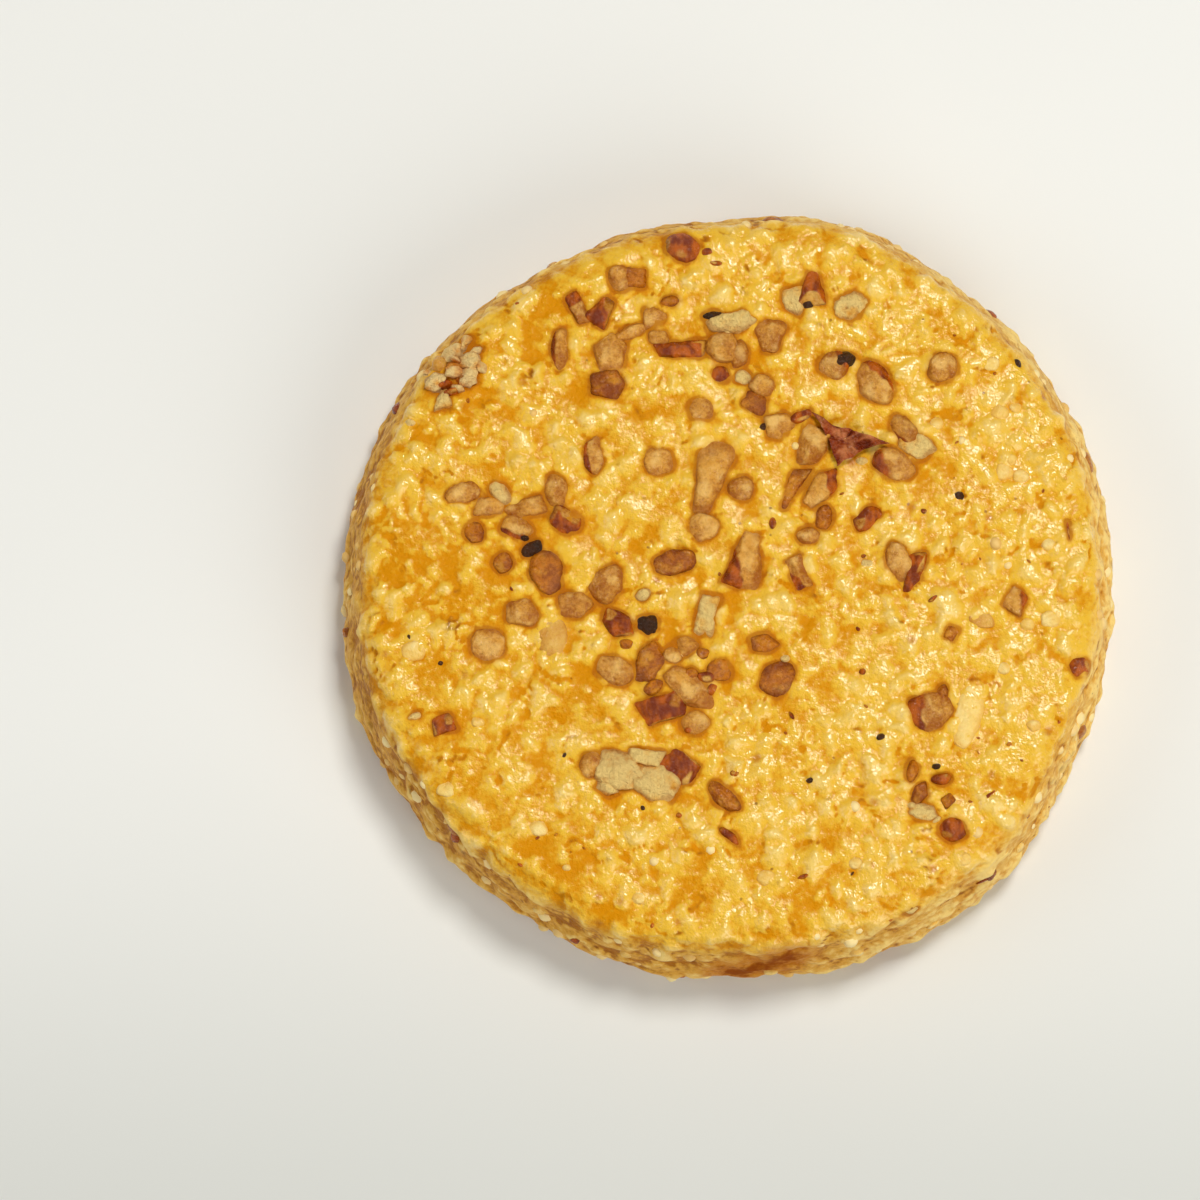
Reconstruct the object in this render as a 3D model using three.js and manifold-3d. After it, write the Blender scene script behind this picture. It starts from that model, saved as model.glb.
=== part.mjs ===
// Amaranth walnut cookie.
// One crisp round biscuit, baked lying flat: a level underside, a craggy wall that spreads
// towards its foot, a soft shoulder and a lumpy face. Chips of walnut are baked into the face,
// and puffed amaranth grains sit in the face and the wall. All of it is one solid.
// Millimetres, +Z up, the origin at the middle of the underside.

import * as THREE from 'three';
import { mergeVertices } from 'three/addons/utils/BufferGeometryUtils.js';
import { SimplexNoise } from 'three/addons/math/SimplexNoise.js';
import Module from 'manifold-3d';

// ---- Driving dimensions ----

const THICKNESS = 12.6; // underside to the middle of the face
const FACE_RADIUS = 33.6; // where the face starts to round over
const SHOULDER_RADIUS = 36.5; // top of the wall
const SHOULDER_DROP = 2.4; // the wall starts this far below the face
const FOOT_INSET = 0.9; // the underside is this much smaller than the widest ring
const CROWN = 0.35; // the middle of the face over its edge
const SHOULDER_PULL = [0.5, 0.2]; // how far the shoulder's arc stays inside its corner, across and down
const WALL_END = 3.6; // the wall turns under at this height
const TURN_UNDER = 1.0; // height at which the turn under is fullest

// The outline at the widest ring, every 15 degrees from +X towards +Y.
const EDGE_RADII = [
  38.1, 38.5, 38.7, 38.7, 38.8, 39.1, 38.0, 37.9, 37.8, 38.3, 38.6, 38.6,
  38.4, 38.7, 38.4, 38.2, 38.0, 38.5, 38.0, 38.4, 38.9, 39.0, 38.1, 38.1,
];
const MEAN_EDGE_RADIUS = EDGE_RADII.reduce((sum, radius) => sum + radius, 0) / EDGE_RADII.length;

// Relief of the dough: [size of a lump, height of a lump].
const FACE_SWELLS = [11, 0.3];
const FACE_LUMPS = [3.4, 0.34];
const WALL_CRAGS = [4.2, 0.55];
const WALL_PITS = [2.4, 0.25];
const CRAG_STRETCH = 1.8; // the wall's crags are this much longer than high
const CRAG_START = 3; // wall ring from which the crags are at their full height

// How finely the dough is divided.
const FACE_RINGS = 17;
const WALL_RINGS = 9;
const EDGE_POINTS = 6 * FACE_RINGS;
const MERGE_WITHIN = 0.03; // faces flatter than this are merged

// Puffed grains, spread by rule.
const GRAIN_COUNT = 42;
const GRAIN_DIAMETER = [1.1, 1.7];
const GRAIN_SPACING = 2.4;
const GRAIN_RISE = 0.38; // share of a grain's diameter that stands proud
const GRAIN_WALL_SHARE = 0.5; // share of the grains that sit in the wall
const GRAIN_WALL_RINGS = [4, 8]; // the wall rings that carry them
const GRAIN_FACE_START = 12; // none on the face inside this radius, where the chips crowd
const LARGE_CHIP = 4.7; // chips from this length get more faces
const CHIP_DEPTH = 1.1; // how far a chip reaches into the dough
const CHIP_LEAN = 0.12; // most that a chip leans, in radians
const CORNER_SOFTNESS = 0.6; // 1 leaves a chip's sides straight, 0 makes it round
const UNEVEN = [0.92, 1.08]; // a chip's surface varies by this share

const GRAIN_SEED = 41;
const CHIP_SEED = 7;
const NOISE_SEED = 23;

// ---- Walnut chips ----

// Each chip: [x, y, length, width, turn in degrees, corners of its outline (0 is round), rise].
const CHIPS = [
  // far rim
  [-4.5, 33.3, 3.3, 3.0, 0, 0, 0.5], [-9.2, 30.3, 2.4, 2.0, 0, 4, 0.4],
  [-10.9, 30.2, 2.6, 2.2, 90, 0, 0.5], [7.9, 29.0, 3.6, 3.2, 90, 3, 0.7],
  [6.5, 28.0, 2.8, 2.6, 0, 5, 0.4], [12.0, 27.4, 3.6, 2.6, 10, 5, 0.4],
  // far left
  [-14.9, 27.2, 3.4, 1.6, -60, 4, 0.6], [-12.5, 26.8, 3.0, 2.4, 55, 3, 0.7],
  [-16.7, 23.1, 4.2, 1.8, 86, 0, 0.7], [-11.8, 22.7, 4.0, 3.2, 90, 5, 0.6],
  [-12.0, 19.5, 3.4, 2.9, 0, 5, 0.6], [-13.4, 12.4, 3.8, 2.0, 90, 0, 0.5],
  [-27.4, 23.3, 2.4, 1.9, 30, 5, 0.6], [-26.0, 22.6, 2.6, 1.6, 40, 5, 0.6],
  [-28.6, 21.0, 2.4, 1.5, 40, 5, 0.6], [-28.4, 22.6, 1.6, 1.6, 0, 0, 0.8],
  [-28.2, 19.0, 2.0, 1.6, 90, 3, 0.4],
  // far middle
  [-7.3, 26.3, 2.4, 2.2, 0, 3, 0.4], [-9.7, 24.8, 3.4, 1.3, 20, 0, 0.4],
  [-7.0, 24.2, 2.0, 1.5, 0, 0, 0.4], [-4.9, 23.0, 5.0, 1.8, 2, 4, 0.6],
  [-0.7, 23.3, 3.3, 3.1, 0, 0, 0.7], [1.0, 22.4, 2.8, 1.6, 75, 0, 0.5],
  [0.3, 25.8, 4.8, 2.2, 5, 5, 0.7], [4.0, 24.3, 3.4, 3.0, -90, 3, 0.6],
  [10.2, 21.4, 3.2, 3.0, 0, 0, 0.7], [14.3, 19.5, 4.8, 3.2, -60, 0, 0.8],
  [20.9, 21.2, 3.0, 3.0, 0, 0, 0.6], [3.1, 19.4, 2.6, 2.2, 0, 0, 0.5],
  [2.5, 17.6, 2.7, 2.0, -30, 0, 0.4], [-2.9, 17.1, 2.4, 2.2, 0, 0, 0.3],
  // middle
  [4.8, 15.3, 3.0, 2.6, 0, 5, 0.5], [8.1, 13.4, 4.1, 3.0, 72, 4, 0.8],
  [17.0, 14.9, 3.4, 2.4, -40, 0, 0.7], [18.3, 13.4, 3.6, 2.4, -20, 5, 0.6],
  [16.0, 11.5, 4.4, 3.2, -10, 0, 0.7], [6.2, 9.2, 4.7, 1.7, -115, 3, 0.4],
  [8.9, 9.2, 4.6, 2.5, 51, 5, 0.7], [9.2, 6.3, 2.6, 1.6, 80, 0, 0.5],
  [7.6, 4.5, 2.4, 1.8, 0, 0, 0.5], [11.0, 13.9, 4.8, 2.6, -30, 3, 0.6],
  [14.5, 13.7, 2.4, 0.9, -20, 4, 0.5], [-1.9, 10.2, 6.9, 3.2, -103, 3, 0.8],
  [-7.0, 11.8, 2.8, 2.8, 0, 0, 0.4], [1.0, 9.2, 2.6, 2.4, 0, 0, 0.5],
  [-2.5, 5.3, 3.0, 2.9, 0, 0, 0.5], [-5.4, 1.8, 4.2, 2.6, 5, 0, 0.5],
  [1.5, 2.1, 5.6, 3.4, 75, 3, 0.8], [6.6, 0.8, 3.4, 1.9, 110, 4, 0.5],
  [13.3, 6.2, 2.8, 1.8, 38, 0, 0.5], [16.4, 2.0, 3.8, 2.4, 105, 0, 0.7],
  [18.0, 0.9, 4.0, 1.7, 78, 4, 0.6],
  // left
  [-26.2, 8.8, 3.6, 2.2, 20, 0, 0.4], [-23.7, 7.5, 3.0, 1.9, 0, 4, 0.4],
  [-22.6, 8.9, 2.6, 1.6, -50, 0, 0.4], [-20.0, 7.4, 4.0, 2.0, 10, 4, 0.6],
  [-20.8, 5.3, 3.2, 2.2, -20, 0, 0.5], [-17.0, 9.0, 3.3, 2.2, 100, 0, 0.5],
  [-16.0, 6.0, 3.3, 2.6, -35, 5, 0.5], [-25.1, 4.9, 2.3, 1.9, 100, 0, 0.4],
  [-19.4, 3.3, 2.2, 1.4, 30, 0, 0.4], [-22.2, 1.9, 2.1, 1.9, 50, 0, 0.4],
  [-18.0, 0.9, 4.5, 3.3, 105, 0, 0.6], [-15.1, -2.2, 3.5, 2.8, 0, 5, 0.5],
  [-20.3, -3.0, 3.2, 2.8, 0, 5, 0.6], [-12.1, -0.3, 3.9, 3.4, 90, 0, 0.7],
  [-17.5, -5.5, 4.2, 3.2, 90, 0, 0.3], [-23.7, -6.2, 3.4, 3.2, 0, 0, 0.4],
  [-28.0, -14.0, 2.3, 1.9, 20, 4, 0.4],
  // near middle
  [-11.0, -4.2, 3.6, 2.4, -35, 5, 0.6], [-8.1, -4.3, 2.1, 2.1, 0, 0, 0.5],
  [-11.3, -8.8, 3.8, 2.8, -25, 0, 0.5], [-7.8, -7.8, 4.0, 2.8, 75, 5, 0.6],
  [-5.7, -7.2, 2.0, 1.8, 0, 0, 0.4], [-4.3, -6.4, 2.1, 2.0, 0, 0, 0.5],
  [-2.3, -3.4, 4.1, 2.1, 75, 4, 0.6], [-4.2, -10.5, 5.4, 2.8, -38, 5, 0.6],
  [-1.1, -8.7, 2.4, 2.3, 0, 0, 0.4], [-6.7, -12.5, 4.6, 2.6, 15, 4, 0.6],
  [-3.4, -13.9, 2.9, 2.4, 0, 0, 0.5], [3.4, -6.1, 2.9, 1.9, 0, 5, 0.4],
  [4.5, -9.6, 3.6, 3.2, 0, 0, 0.5], [-9.9, -19.2, 9.4, 4.1, -15, 4, 0.9],
  [-5.0, -18.1, 3.6, 2.6, -40, 4, 0.6], [-0.7, -21.2, 4.0, 2.0, -40, 0, 0.6],
  // near right
  [19.5, -12.8, 4.4, 3.5, 0, 0, 0.6], [23.0, -13.2, 6.4, 2.6, 75, 4, 0.4],
  [17.6, -18.7, 2.3, 1.3, 80, 0, 0.5], [20.4, -19.4, 1.9, 1.0, 0, 0, 0.4],
  [18.3, -20.8, 2.2, 1.5, 60, 5, 0.4], [21.0, -21.5, 1.4, 1.2, 40, 4, 0.4],
  [18.7, -22.6, 2.8, 1.7, -20, 5, 0.4], [21.4, -24.4, 2.4, 2.3, 0, 0, 0.5],
  [27.8, -2.0, 2.4, 2.2, 60, 4, 0.5], [21.5, -5.2, 1.6, 1.4, 70, 4, 0.3],
  [24.5, -3.8, 2.5, 1.7, -10, 0, 0.2], [34.2, -8.4, 2.1, 1.9, 90, 0, 0.4],
];

// ---- Helpers ----

function seededRandom(seed) {
  let state = seed;
  return () => {
    state = (state + 0x6d2b79f5) | 0;
    let mixed = Math.imul(state ^ (state >>> 15), 1 | state);
    mixed = (mixed + Math.imul(mixed ^ (mixed >>> 7), 61 | mixed)) ^ mixed;
    return ((mixed ^ (mixed >>> 14)) >>> 0) / 4294967296;
  };
}

function between(random, low, high) {
  return low + (high - low) * random();
}

const noise = new SimplexNoise({ random: seededRandom(NOISE_SEED) });

function swell(point, [size, height], stretch = 1) {
  return height * noise.noise3d(point.x / (size * stretch), point.y / (size * stretch), point.z / size);
}

// ---- The dough ----

// The outline is one smooth closed curve through the edge radii.
const outline = new THREE.CatmullRomCurve3(
  EDGE_RADII.map((radius, index) => {
    const angle = (index / EDGE_RADII.length) * 2 * Math.PI;
    return new THREE.Vector3(radius * Math.cos(angle), radius * Math.sin(angle), 0);
  }),
  true,
);

function edgeShare(angle) {
  const turn = ((angle / (2 * Math.PI)) % 1 + 1) % 1;
  return outline.getPoint(turn).length() / MEAN_EDGE_RADIUS;
}

// The section from the edge of the face over the shoulder and down the wall to the foot.
const section = new THREE.Path();
section.moveTo(FACE_RADIUS, THICKNESS - CROWN);
section.quadraticCurveTo(
  SHOULDER_RADIUS - SHOULDER_PULL[0], THICKNESS - CROWN - SHOULDER_PULL[1],
  SHOULDER_RADIUS, THICKNESS - SHOULDER_DROP,
);
section.lineTo(MEAN_EDGE_RADIUS, WALL_END);
section.quadraticCurveTo(MEAN_EDGE_RADIUS, TURN_UNDER, MEAN_EDGE_RADIUS - FOOT_INSET, 0);
const sectionPoints = section.getSpacedPoints(WALL_RINGS);

function faceHeight(radius) {
  if (radius <= FACE_RADIUS) return THICKNESS - CROWN * (radius / FACE_RADIUS) ** 2;
  const below = sectionPoints.findIndex((point) => point.x > radius);
  const [a, b] = [sectionPoints[below - 1], sectionPoints[below]];
  return THREE.MathUtils.mapLinear(radius, a.x, b.x, a.y, b.y);
}

function faceRelief(point) {
  return swell(point, FACE_SWELLS) + swell(point, FACE_LUMPS);
}

function facePoint(ring, step) {
  const radius = (FACE_RADIUS * ring) / FACE_RINGS;
  const angle = ring === 0 ? 0 : (step / (6 * ring)) * 2 * Math.PI;
  const share = THREE.MathUtils.lerp(1, edgeShare(angle), ring / FACE_RINGS);
  const point = new THREE.Vector3(radius * share * Math.cos(angle), radius * share * Math.sin(angle), 0);
  point.z = faceHeight(radius) + faceRelief(point);
  return point;
}

function wallPoint(level, step) {
  const { x: radius, y: height } = sectionPoints[level];
  const angle = (step / EDGE_POINTS) * 2 * Math.PI;
  const share = edgeShare(angle);
  const point = new THREE.Vector3(radius * share * Math.cos(angle), radius * share * Math.sin(angle), height);
  const downWall = THREE.MathUtils.smoothstep(level, 0, CRAG_START);
  const crag = downWall * (swell(point, WALL_CRAGS, CRAG_STRETCH) + swell(point, WALL_PITS));
  const lift = level === WALL_RINGS ? 0 : (1 - downWall) * faceRelief(point);
  const outwards = new THREE.Vector3(Math.cos(angle), Math.sin(angle), 0);
  return point.addScaledVector(outwards, crag).setZ(height + lift);
}

function doughGeometry() {
  const points = [];
  const triangles = [];
  const ringStart = [];

  for (let ring = 0; ring <= FACE_RINGS; ring += 1) {
    ringStart.push(points.length);
    for (let step = 0; step < Math.max(1, 6 * ring); step += 1) points.push(facePoint(ring, step));
  }

  // Each ring of the face has six more points than the one inside it.
  const onRing = (ring, step) => ringStart[ring] + (ring === 0 ? 0 : step % (6 * ring));
  for (let ring = 0; ring < FACE_RINGS; ring += 1) {
    for (let sector = 0; sector < 6; sector += 1) {
      const inner = sector * ring;
      const outer = sector * (ring + 1);
      for (let step = 0; step <= ring; step += 1) {
        const near = onRing(ring, inner + step);
        triangles.push(onRing(ring + 1, outer + step), onRing(ring + 1, outer + step + 1), near);
        if (step === ring) continue;
        triangles.push(near, onRing(ring + 1, outer + step + 1), onRing(ring, inner + step + 1));
      }
    }
  }

  let above = ringStart[FACE_RINGS];
  for (let level = 1; level <= WALL_RINGS; level += 1) {
    const below = points.length;
    for (let step = 0; step < EDGE_POINTS; step += 1) points.push(wallPoint(level, step));
    for (let step = 0; step < EDGE_POINTS; step += 1) {
      const next = (step + 1) % EDGE_POINTS;
      triangles.push(above + step, below + step, below + next);
      triangles.push(above + step, below + next, above + next);
    }
    above = below;
  }

  // The underside is flat, cut into triangles from the foot ring alone.
  const foot = points.slice(above).map((point) => new THREE.Vector2(point.x, point.y));
  for (const [a, b, c] of THREE.ShapeUtils.triangulateShape(foot, [])) {
    triangles.push(above + a, above + c, above + b);
  }

  const geometry = new THREE.BufferGeometry().setFromPoints(points);
  geometry.setIndex(triangles);
  return geometry;
}

// ---- Chips and grains ----

// How far a straight-sided outline with softened corners lies from its middle. Three corners
// point along +X, and four lie between the axes, as on a bar.
function outlineShare(corners, angle) {
  if (corners === 0) return 1;
  const side = (2 * Math.PI) / corners;
  const firstCorner = corners === 4 ? side / 2 : 0;
  const pastCorner = (((angle - firstCorner) % side) + side) % side;
  return (1 / Math.cos(pastCorner - side / 2)) ** CORNER_SOFTNESS;
}

function bareShape(geometry) {
  geometry.deleteAttribute('normal');
  geometry.deleteAttribute('uv');
  return mergeVertices(geometry);
}

function chipGeometry([x, y, length, width, turn, corners, rise], random) {
  const shape = bareShape(
    length >= LARGE_CHIP ? new THREE.IcosahedronGeometry(1, 1) : new THREE.OctahedronGeometry(1, 1),
  );
  const position = shape.getAttribute('position');
  const point = new THREE.Vector3();
  for (let index = 0; index < position.count; index += 1) {
    point.fromBufferAttribute(position, index);
    const share = outlineShare(corners, Math.atan2(point.y, point.x)) * between(random, ...UNEVEN);
    point.x *= share;
    point.y *= share;
    point.z *= point.z > 0 ? rise : CHIP_DEPTH;
    position.setXYZ(index, point.x, point.y, point.z);
  }

  // The chip is then brought to its exact length and width.
  shape.computeBoundingBox();
  const size = shape.boundingBox.getSize(new THREE.Vector3());
  const middle = shape.boundingBox.getCenter(new THREE.Vector3());
  shape.translate(-middle.x, -middle.y, 0).scale(length / size.x, width / size.y, 1);
  shape.rotateX(between(random, -CHIP_LEAN, CHIP_LEAN));
  shape.rotateZ(THREE.MathUtils.degToRad(turn));

  // On the shoulder a chip leans with the dough.
  const place = new THREE.Vector3(x, y, 0);
  const radius = place.length();
  const slope = Math.atan2(faceHeight(radius - 0.5) - faceHeight(radius + 0.5), 1);
  const along = new THREE.Vector3(-y, x, 0).normalize();
  shape.applyMatrix4(new THREE.Matrix4().makeRotationAxis(along, slope));
  return shape.translate(x, y, faceHeight(radius) + faceRelief(place));
}

function grainPlaces(random) {
  const places = [];
  while (places.length < GRAIN_COUNT) {
    const angle = between(random, 0, 2 * Math.PI);
    const onWall = random() < GRAIN_WALL_SHARE;
    const level = Math.floor(between(random, ...GRAIN_WALL_RINGS));
    const radius = onWall
      ? sectionPoints[level].x * edgeShare(angle)
      : between(random, GRAIN_FACE_START, FACE_RADIUS);
    const place = new THREE.Vector3(radius * Math.cos(angle), radius * Math.sin(angle), 0);
    place.z = onWall ? sectionPoints[level].y : faceHeight(radius) + faceRelief(place);
    const clearOfGrains = places.every((other) => other.distanceTo(place) > GRAIN_SPACING);
    const clearOfChips = CHIPS.every(([x, y, length]) => (
      Math.hypot(place.x - x, place.y - y) > length / 2 + GRAIN_DIAMETER[1] / 2
    ));
    if (clearOfGrains && (onWall || clearOfChips)) places.push(place);
  }
  return places;
}

function grainGeometry(place, random) {
  const radius = between(random, ...GRAIN_DIAMETER) / 2;
  const shape = bareShape(new THREE.OctahedronGeometry(radius, 1));
  shape.rotateX(between(random, 0, Math.PI));
  shape.rotateZ(between(random, 0, Math.PI));
  const sunk = radius * (1 - 2 * GRAIN_RISE);
  const inwards = new THREE.Vector3(-place.x, -place.y, 0).normalize();
  const onWall = place.z < THICKNESS - SHOULDER_DROP;
  const centre = onWall
    ? place.clone().addScaledVector(inwards, sunk)
    : place.clone().setZ(place.z - sunk);
  return shape.translate(centre.x, centre.y, centre.z);
}

// ---- Joining ----

const wasm = await Module();
wasm.setup();

function toSolid(geometry) {
  return new wasm.Manifold(new wasm.Mesh({
    numProp: 3,
    vertProperties: Float32Array.from(geometry.getAttribute('position').array),
    triVerts: Uint32Array.from(geometry.getIndex().array),
  }));
}

function toGeometry(solid) {
  const mesh = solid.getMesh();
  const geometry = new THREE.BufferGeometry();
  geometry.setAttribute('position', new THREE.BufferAttribute(mesh.vertProperties, 3));
  geometry.setIndex(new THREE.BufferAttribute(mesh.triVerts, 1));
  return geometry;
}

function cookieGeometry() {
  let solid = toSolid(doughGeometry());
  const chipRandom = seededRandom(CHIP_SEED);
  for (const chip of CHIPS) solid = solid.add(toSolid(chipGeometry(chip, chipRandom)));
  const grainRandom = seededRandom(GRAIN_SEED);
  for (const place of grainPlaces(grainRandom)) {
    solid = solid.add(toSolid(grainGeometry(place, grainRandom)));
  }
  return toGeometry(solid.simplify(MERGE_WITHIN));
}

const baked = new THREE.MeshStandardMaterial({ color: 0xe9b44c, roughness: 0.45, metalness: 0 });
const cookie = new THREE.Mesh(cookieGeometry(), baked);
cookie.name = 'cookie';

const group = new THREE.Group();
group.add(cookie);

export default group;
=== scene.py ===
# %% [markdown]
# # An amaranth walnut cookie
# One round biscuit, about 77 mm across and 13 mm thick, baked lying flat. Its face was brushed
# with egg, so it is golden and glossy, with cream-coloured lumps and orange hollows. Chopped
# walnuts are baked into the face, and puffed amaranth grains sit in the dough.
#
# The lesson builds it from the dough outwards: the dough first, then the nuts that lie on it,
# then what is scattered, and the materials and the light last.

# %% The fixed frame
import math

import bmesh
import bpy
import numpy as np
from mathutils import Matrix, Vector, noise
from mathutils.bvhtree import BVHTree


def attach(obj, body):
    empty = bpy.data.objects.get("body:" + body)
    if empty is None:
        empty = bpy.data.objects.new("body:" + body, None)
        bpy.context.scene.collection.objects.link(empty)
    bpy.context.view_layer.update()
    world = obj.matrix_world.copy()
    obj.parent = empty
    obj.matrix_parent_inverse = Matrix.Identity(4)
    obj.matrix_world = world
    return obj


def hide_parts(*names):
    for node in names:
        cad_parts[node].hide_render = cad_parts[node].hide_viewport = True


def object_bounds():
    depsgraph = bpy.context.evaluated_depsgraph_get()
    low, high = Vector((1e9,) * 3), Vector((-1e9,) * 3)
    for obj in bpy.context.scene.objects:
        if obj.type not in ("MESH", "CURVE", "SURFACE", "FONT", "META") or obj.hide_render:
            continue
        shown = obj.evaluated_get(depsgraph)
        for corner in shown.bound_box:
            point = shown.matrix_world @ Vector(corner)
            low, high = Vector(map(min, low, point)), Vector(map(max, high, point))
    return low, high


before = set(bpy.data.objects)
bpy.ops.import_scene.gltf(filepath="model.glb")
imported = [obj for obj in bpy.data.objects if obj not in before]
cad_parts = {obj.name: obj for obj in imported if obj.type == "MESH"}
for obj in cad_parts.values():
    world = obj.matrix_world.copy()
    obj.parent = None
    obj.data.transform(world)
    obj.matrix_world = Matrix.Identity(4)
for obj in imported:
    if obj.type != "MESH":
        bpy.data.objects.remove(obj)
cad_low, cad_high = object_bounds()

cad_size = [round((high - low) * 1000, 1) for low, high in zip(cad_low, cad_high)]
print("the solid measures", cad_size, "mm")

# %% [markdown]
# ## Small tools
# Everything below is worked out in millimetres, because that is how a baker thinks of it, and
# turned into metres only when a mesh is made.
#
# Node trees soon get hard to read, so two small classes stand for a node and for one of its
# outputs. Sums are then written as sums, and each sign in them becomes a math node. The textures
# and soft steps that come up again and again have short names too.

# %% Colours and nodes
MM = 0.001


def screen_colour(red, green, blue):
    """A colour as a screen shows it, 0 to 255, turned into the linear colour of a shader."""
    def linear(value):
        share = value / 255
        return share / 12.92 if share <= 0.04045 else ((share + 0.055) / 1.055) ** 2.4
    return (linear(red), linear(green), linear(blue), 1.0)


class Step:
    """A node. It is filled by the names of its inputs and read by those of its outputs."""

    def __init__(self, tree, kind, **settings):
        self.tree, self.node = tree, tree.nodes.new(kind)
        for name, value in settings.items():
            setattr(self.node, name, value)

    def fill(self, inputs):
        for key, value in inputs.items():
            if isinstance(value, Value):
                self.tree.links.new(value.socket, self.node.inputs[key])
            else:
                self.node.inputs[key].default_value = value
        return self

    def __getitem__(self, key):
        return Value(self.tree, self.node.outputs[key])


def add(tree, kind, inputs=None, **settings):
    return Step(tree, kind, **settings).fill(inputs or {})


def sum_of(operation, *values):
    tree = next(value.tree for value in values if isinstance(value, Value))
    return add(tree, "ShaderNodeMath", dict(enumerate(values)), operation=operation)[0]


def sign(operation, swapped=False):
    """What a sign such as + does between two values, or between a value and a number."""
    return lambda self, other: sum_of(operation, *((other, self) if swapped else (self, other)))


class Value:
    """An output of a node. A sum written with it becomes math nodes in the same tree."""
    __add__, __radd__ = sign("ADD"), sign("ADD", True)
    __sub__, __rsub__ = sign("SUBTRACT"), sign("SUBTRACT", True)
    __mul__, __rmul__ = sign("MULTIPLY"), sign("MULTIPLY", True)
    __truediv__, __rtruediv__ = sign("DIVIDE"), sign("DIVIDE", True)
    __gt__ = sign("GREATER_THAN")

    def __init__(self, tree, socket):
        self.tree, self.socket = tree, socket

    def __abs__(self):
        return sum_of("ABSOLUTE", self)


def vector(operation, first, second):
    """A sum with a vector. second is a number for SCALE, and the result is one for DISTANCE."""
    inputs = {0: first, "Scale" if operation == "SCALE" else 1: second}
    node = add(first.tree, "ShaderNodeVectorMath", inputs, operation=operation)
    return node["Value" if operation == "DISTANCE" else "Vector"]


def split(value):
    node = add(value.tree, "ShaderNodeSeparateXYZ", {0: value})
    return node[0], node[1], node[2]


def rising(value, start, end):
    """0 before start, 1 after end, and a soft step between them. It falls where end is lower."""
    inputs = {"Value": value, "From Min": start, "From Max": end}
    return add(value.tree, "ShaderNodeMapRange", inputs, interpolation_type="SMOOTHSTEP")[0]


def blend(share, first, second):
    return add(share.tree, "ShaderNodeMix", {0: share, 6: first, 7: second}, data_type="RGBA")[2]


def shifted(place, shift, stretch=(1, 1, 1)):
    return vector("MULTIPLY", vector("ADD", place, shift), stretch)


def cloud(place, size, detail=2.0, roughness=0.5, output=0):
    """Soft noise whose blobs are about size across, around 0.5."""
    inputs = {"Vector": place, "Scale": 1 / size, "Detail": detail, "Roughness": roughness}
    return add(place.tree, "ShaderNodeTexNoise", inputs)[output]


def cells(place, size, smoothness=None):
    """Cells about size across. Distance runs from 0 in a cell's middle to about 0.6 at its edge."""
    inputs = {"Vector": place, "Scale": 1 / size}
    if smoothness is None:
        return add(place.tree, "ShaderNodeTexVoronoi", inputs)
    inputs["Smoothness"] = smoothness
    return add(place.tree, "ShaderNodeTexVoronoi", inputs, feature="SMOOTH_F1")


print("helpers ready")

# %% [markdown]
# ## From a node tree to a plain mesh
# Geometry Nodes are a recipe, and what leaves this kitchen has to be the dish. So each recipe is
# put on a carrier mesh, its named inputs are set by their identifiers, and the evaluated result is
# copied into a plain mesh that keeps its attributes. The carrier then goes.

# %% Recipes for Geometry Nodes
KINDS_OF_INPUT = {
    float: "NodeSocketFloat", int: "NodeSocketInt",
    bpy.types.Object: "NodeSocketObject", bpy.types.Material: "NodeSocketMaterial",
}


def new_recipe(name, inputs):
    """A tree with a geometry input, the named inputs and a geometry output."""
    tree = bpy.data.node_groups.new(name, "GeometryNodeTree")
    tree.interface.new_socket(name="Geometry", in_out="INPUT", socket_type="NodeSocketGeometry")
    for label, value in inputs.items():
        kind = next(socket for base, socket in KINDS_OF_INPUT.items() if isinstance(value, base))
        tree.interface.new_socket(name=label, in_out="INPUT", socket_type=kind)
    tree.interface.new_socket(name="Geometry", in_out="OUTPUT", socket_type="NodeSocketGeometry")
    return tree, add(tree, "NodeGroupInput"), add(tree, "NodeGroupOutput")


def read(tree, *names):
    """The named attributes of the mesh."""
    return [add(tree, "GeometryNodeInputNamedAttribute", {"Name": name})["Attribute"]
            for name in names]


def store(geometry, name, value):
    inputs = {"Geometry": geometry, "Name": name, "Value": value}
    return add(geometry.tree, "GeometryNodeStoreNamedAttribute", inputs)["Geometry"]


def position(tree):
    return add(tree, "GeometryNodeInputPosition")[0]


def place_in_mm(tree):
    return vector("SCALE", position(tree), 1 / MM)


def move(geometry, **inputs):
    return add(geometry.tree, "GeometryNodeSetPosition", {"Geometry": geometry, **inputs})[0]


def joint(x, y, z):
    return add(z.tree, "ShaderNodeCombineXYZ", {0: x, 1: y, 2: z})[0]


def softened(value, iterations, weight):
    """The value averaged with that of its neighbours, where weight is above 0."""
    inputs = {"Value": value, "Iterations": iterations, "Weight": weight}
    return add(value.tree, "GeometryNodeBlurAttribute", inputs, data_type="FLOAT")[0]


def shape_of(carried):
    return add(carried.tree, "GeometryNodeObjectInfo", {"Object": carried})["Geometry"]


def cooked(carrier, tree, inputs, name):
    """Runs the recipe on the carrier and returns the result as a plain mesh object."""
    modifier = carrier.modifiers.new(tree.name, "NODES")
    modifier.node_group = tree
    for item in tree.interface.items_tree:
        if item.in_out == "INPUT" and item.name in inputs:
            modifier[item.identifier] = inputs[item.name]
    depsgraph = bpy.context.evaluated_depsgraph_get()
    mesh = bpy.data.meshes.new_from_object(
        carrier.evaluated_get(depsgraph), preserve_all_data_layers=True, depsgraph=depsgraph)
    old_mesh = carrier.data
    bpy.data.objects.remove(carrier)
    bpy.data.meshes.remove(old_mesh)
    mesh.name = name
    return place_object(mesh)


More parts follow.
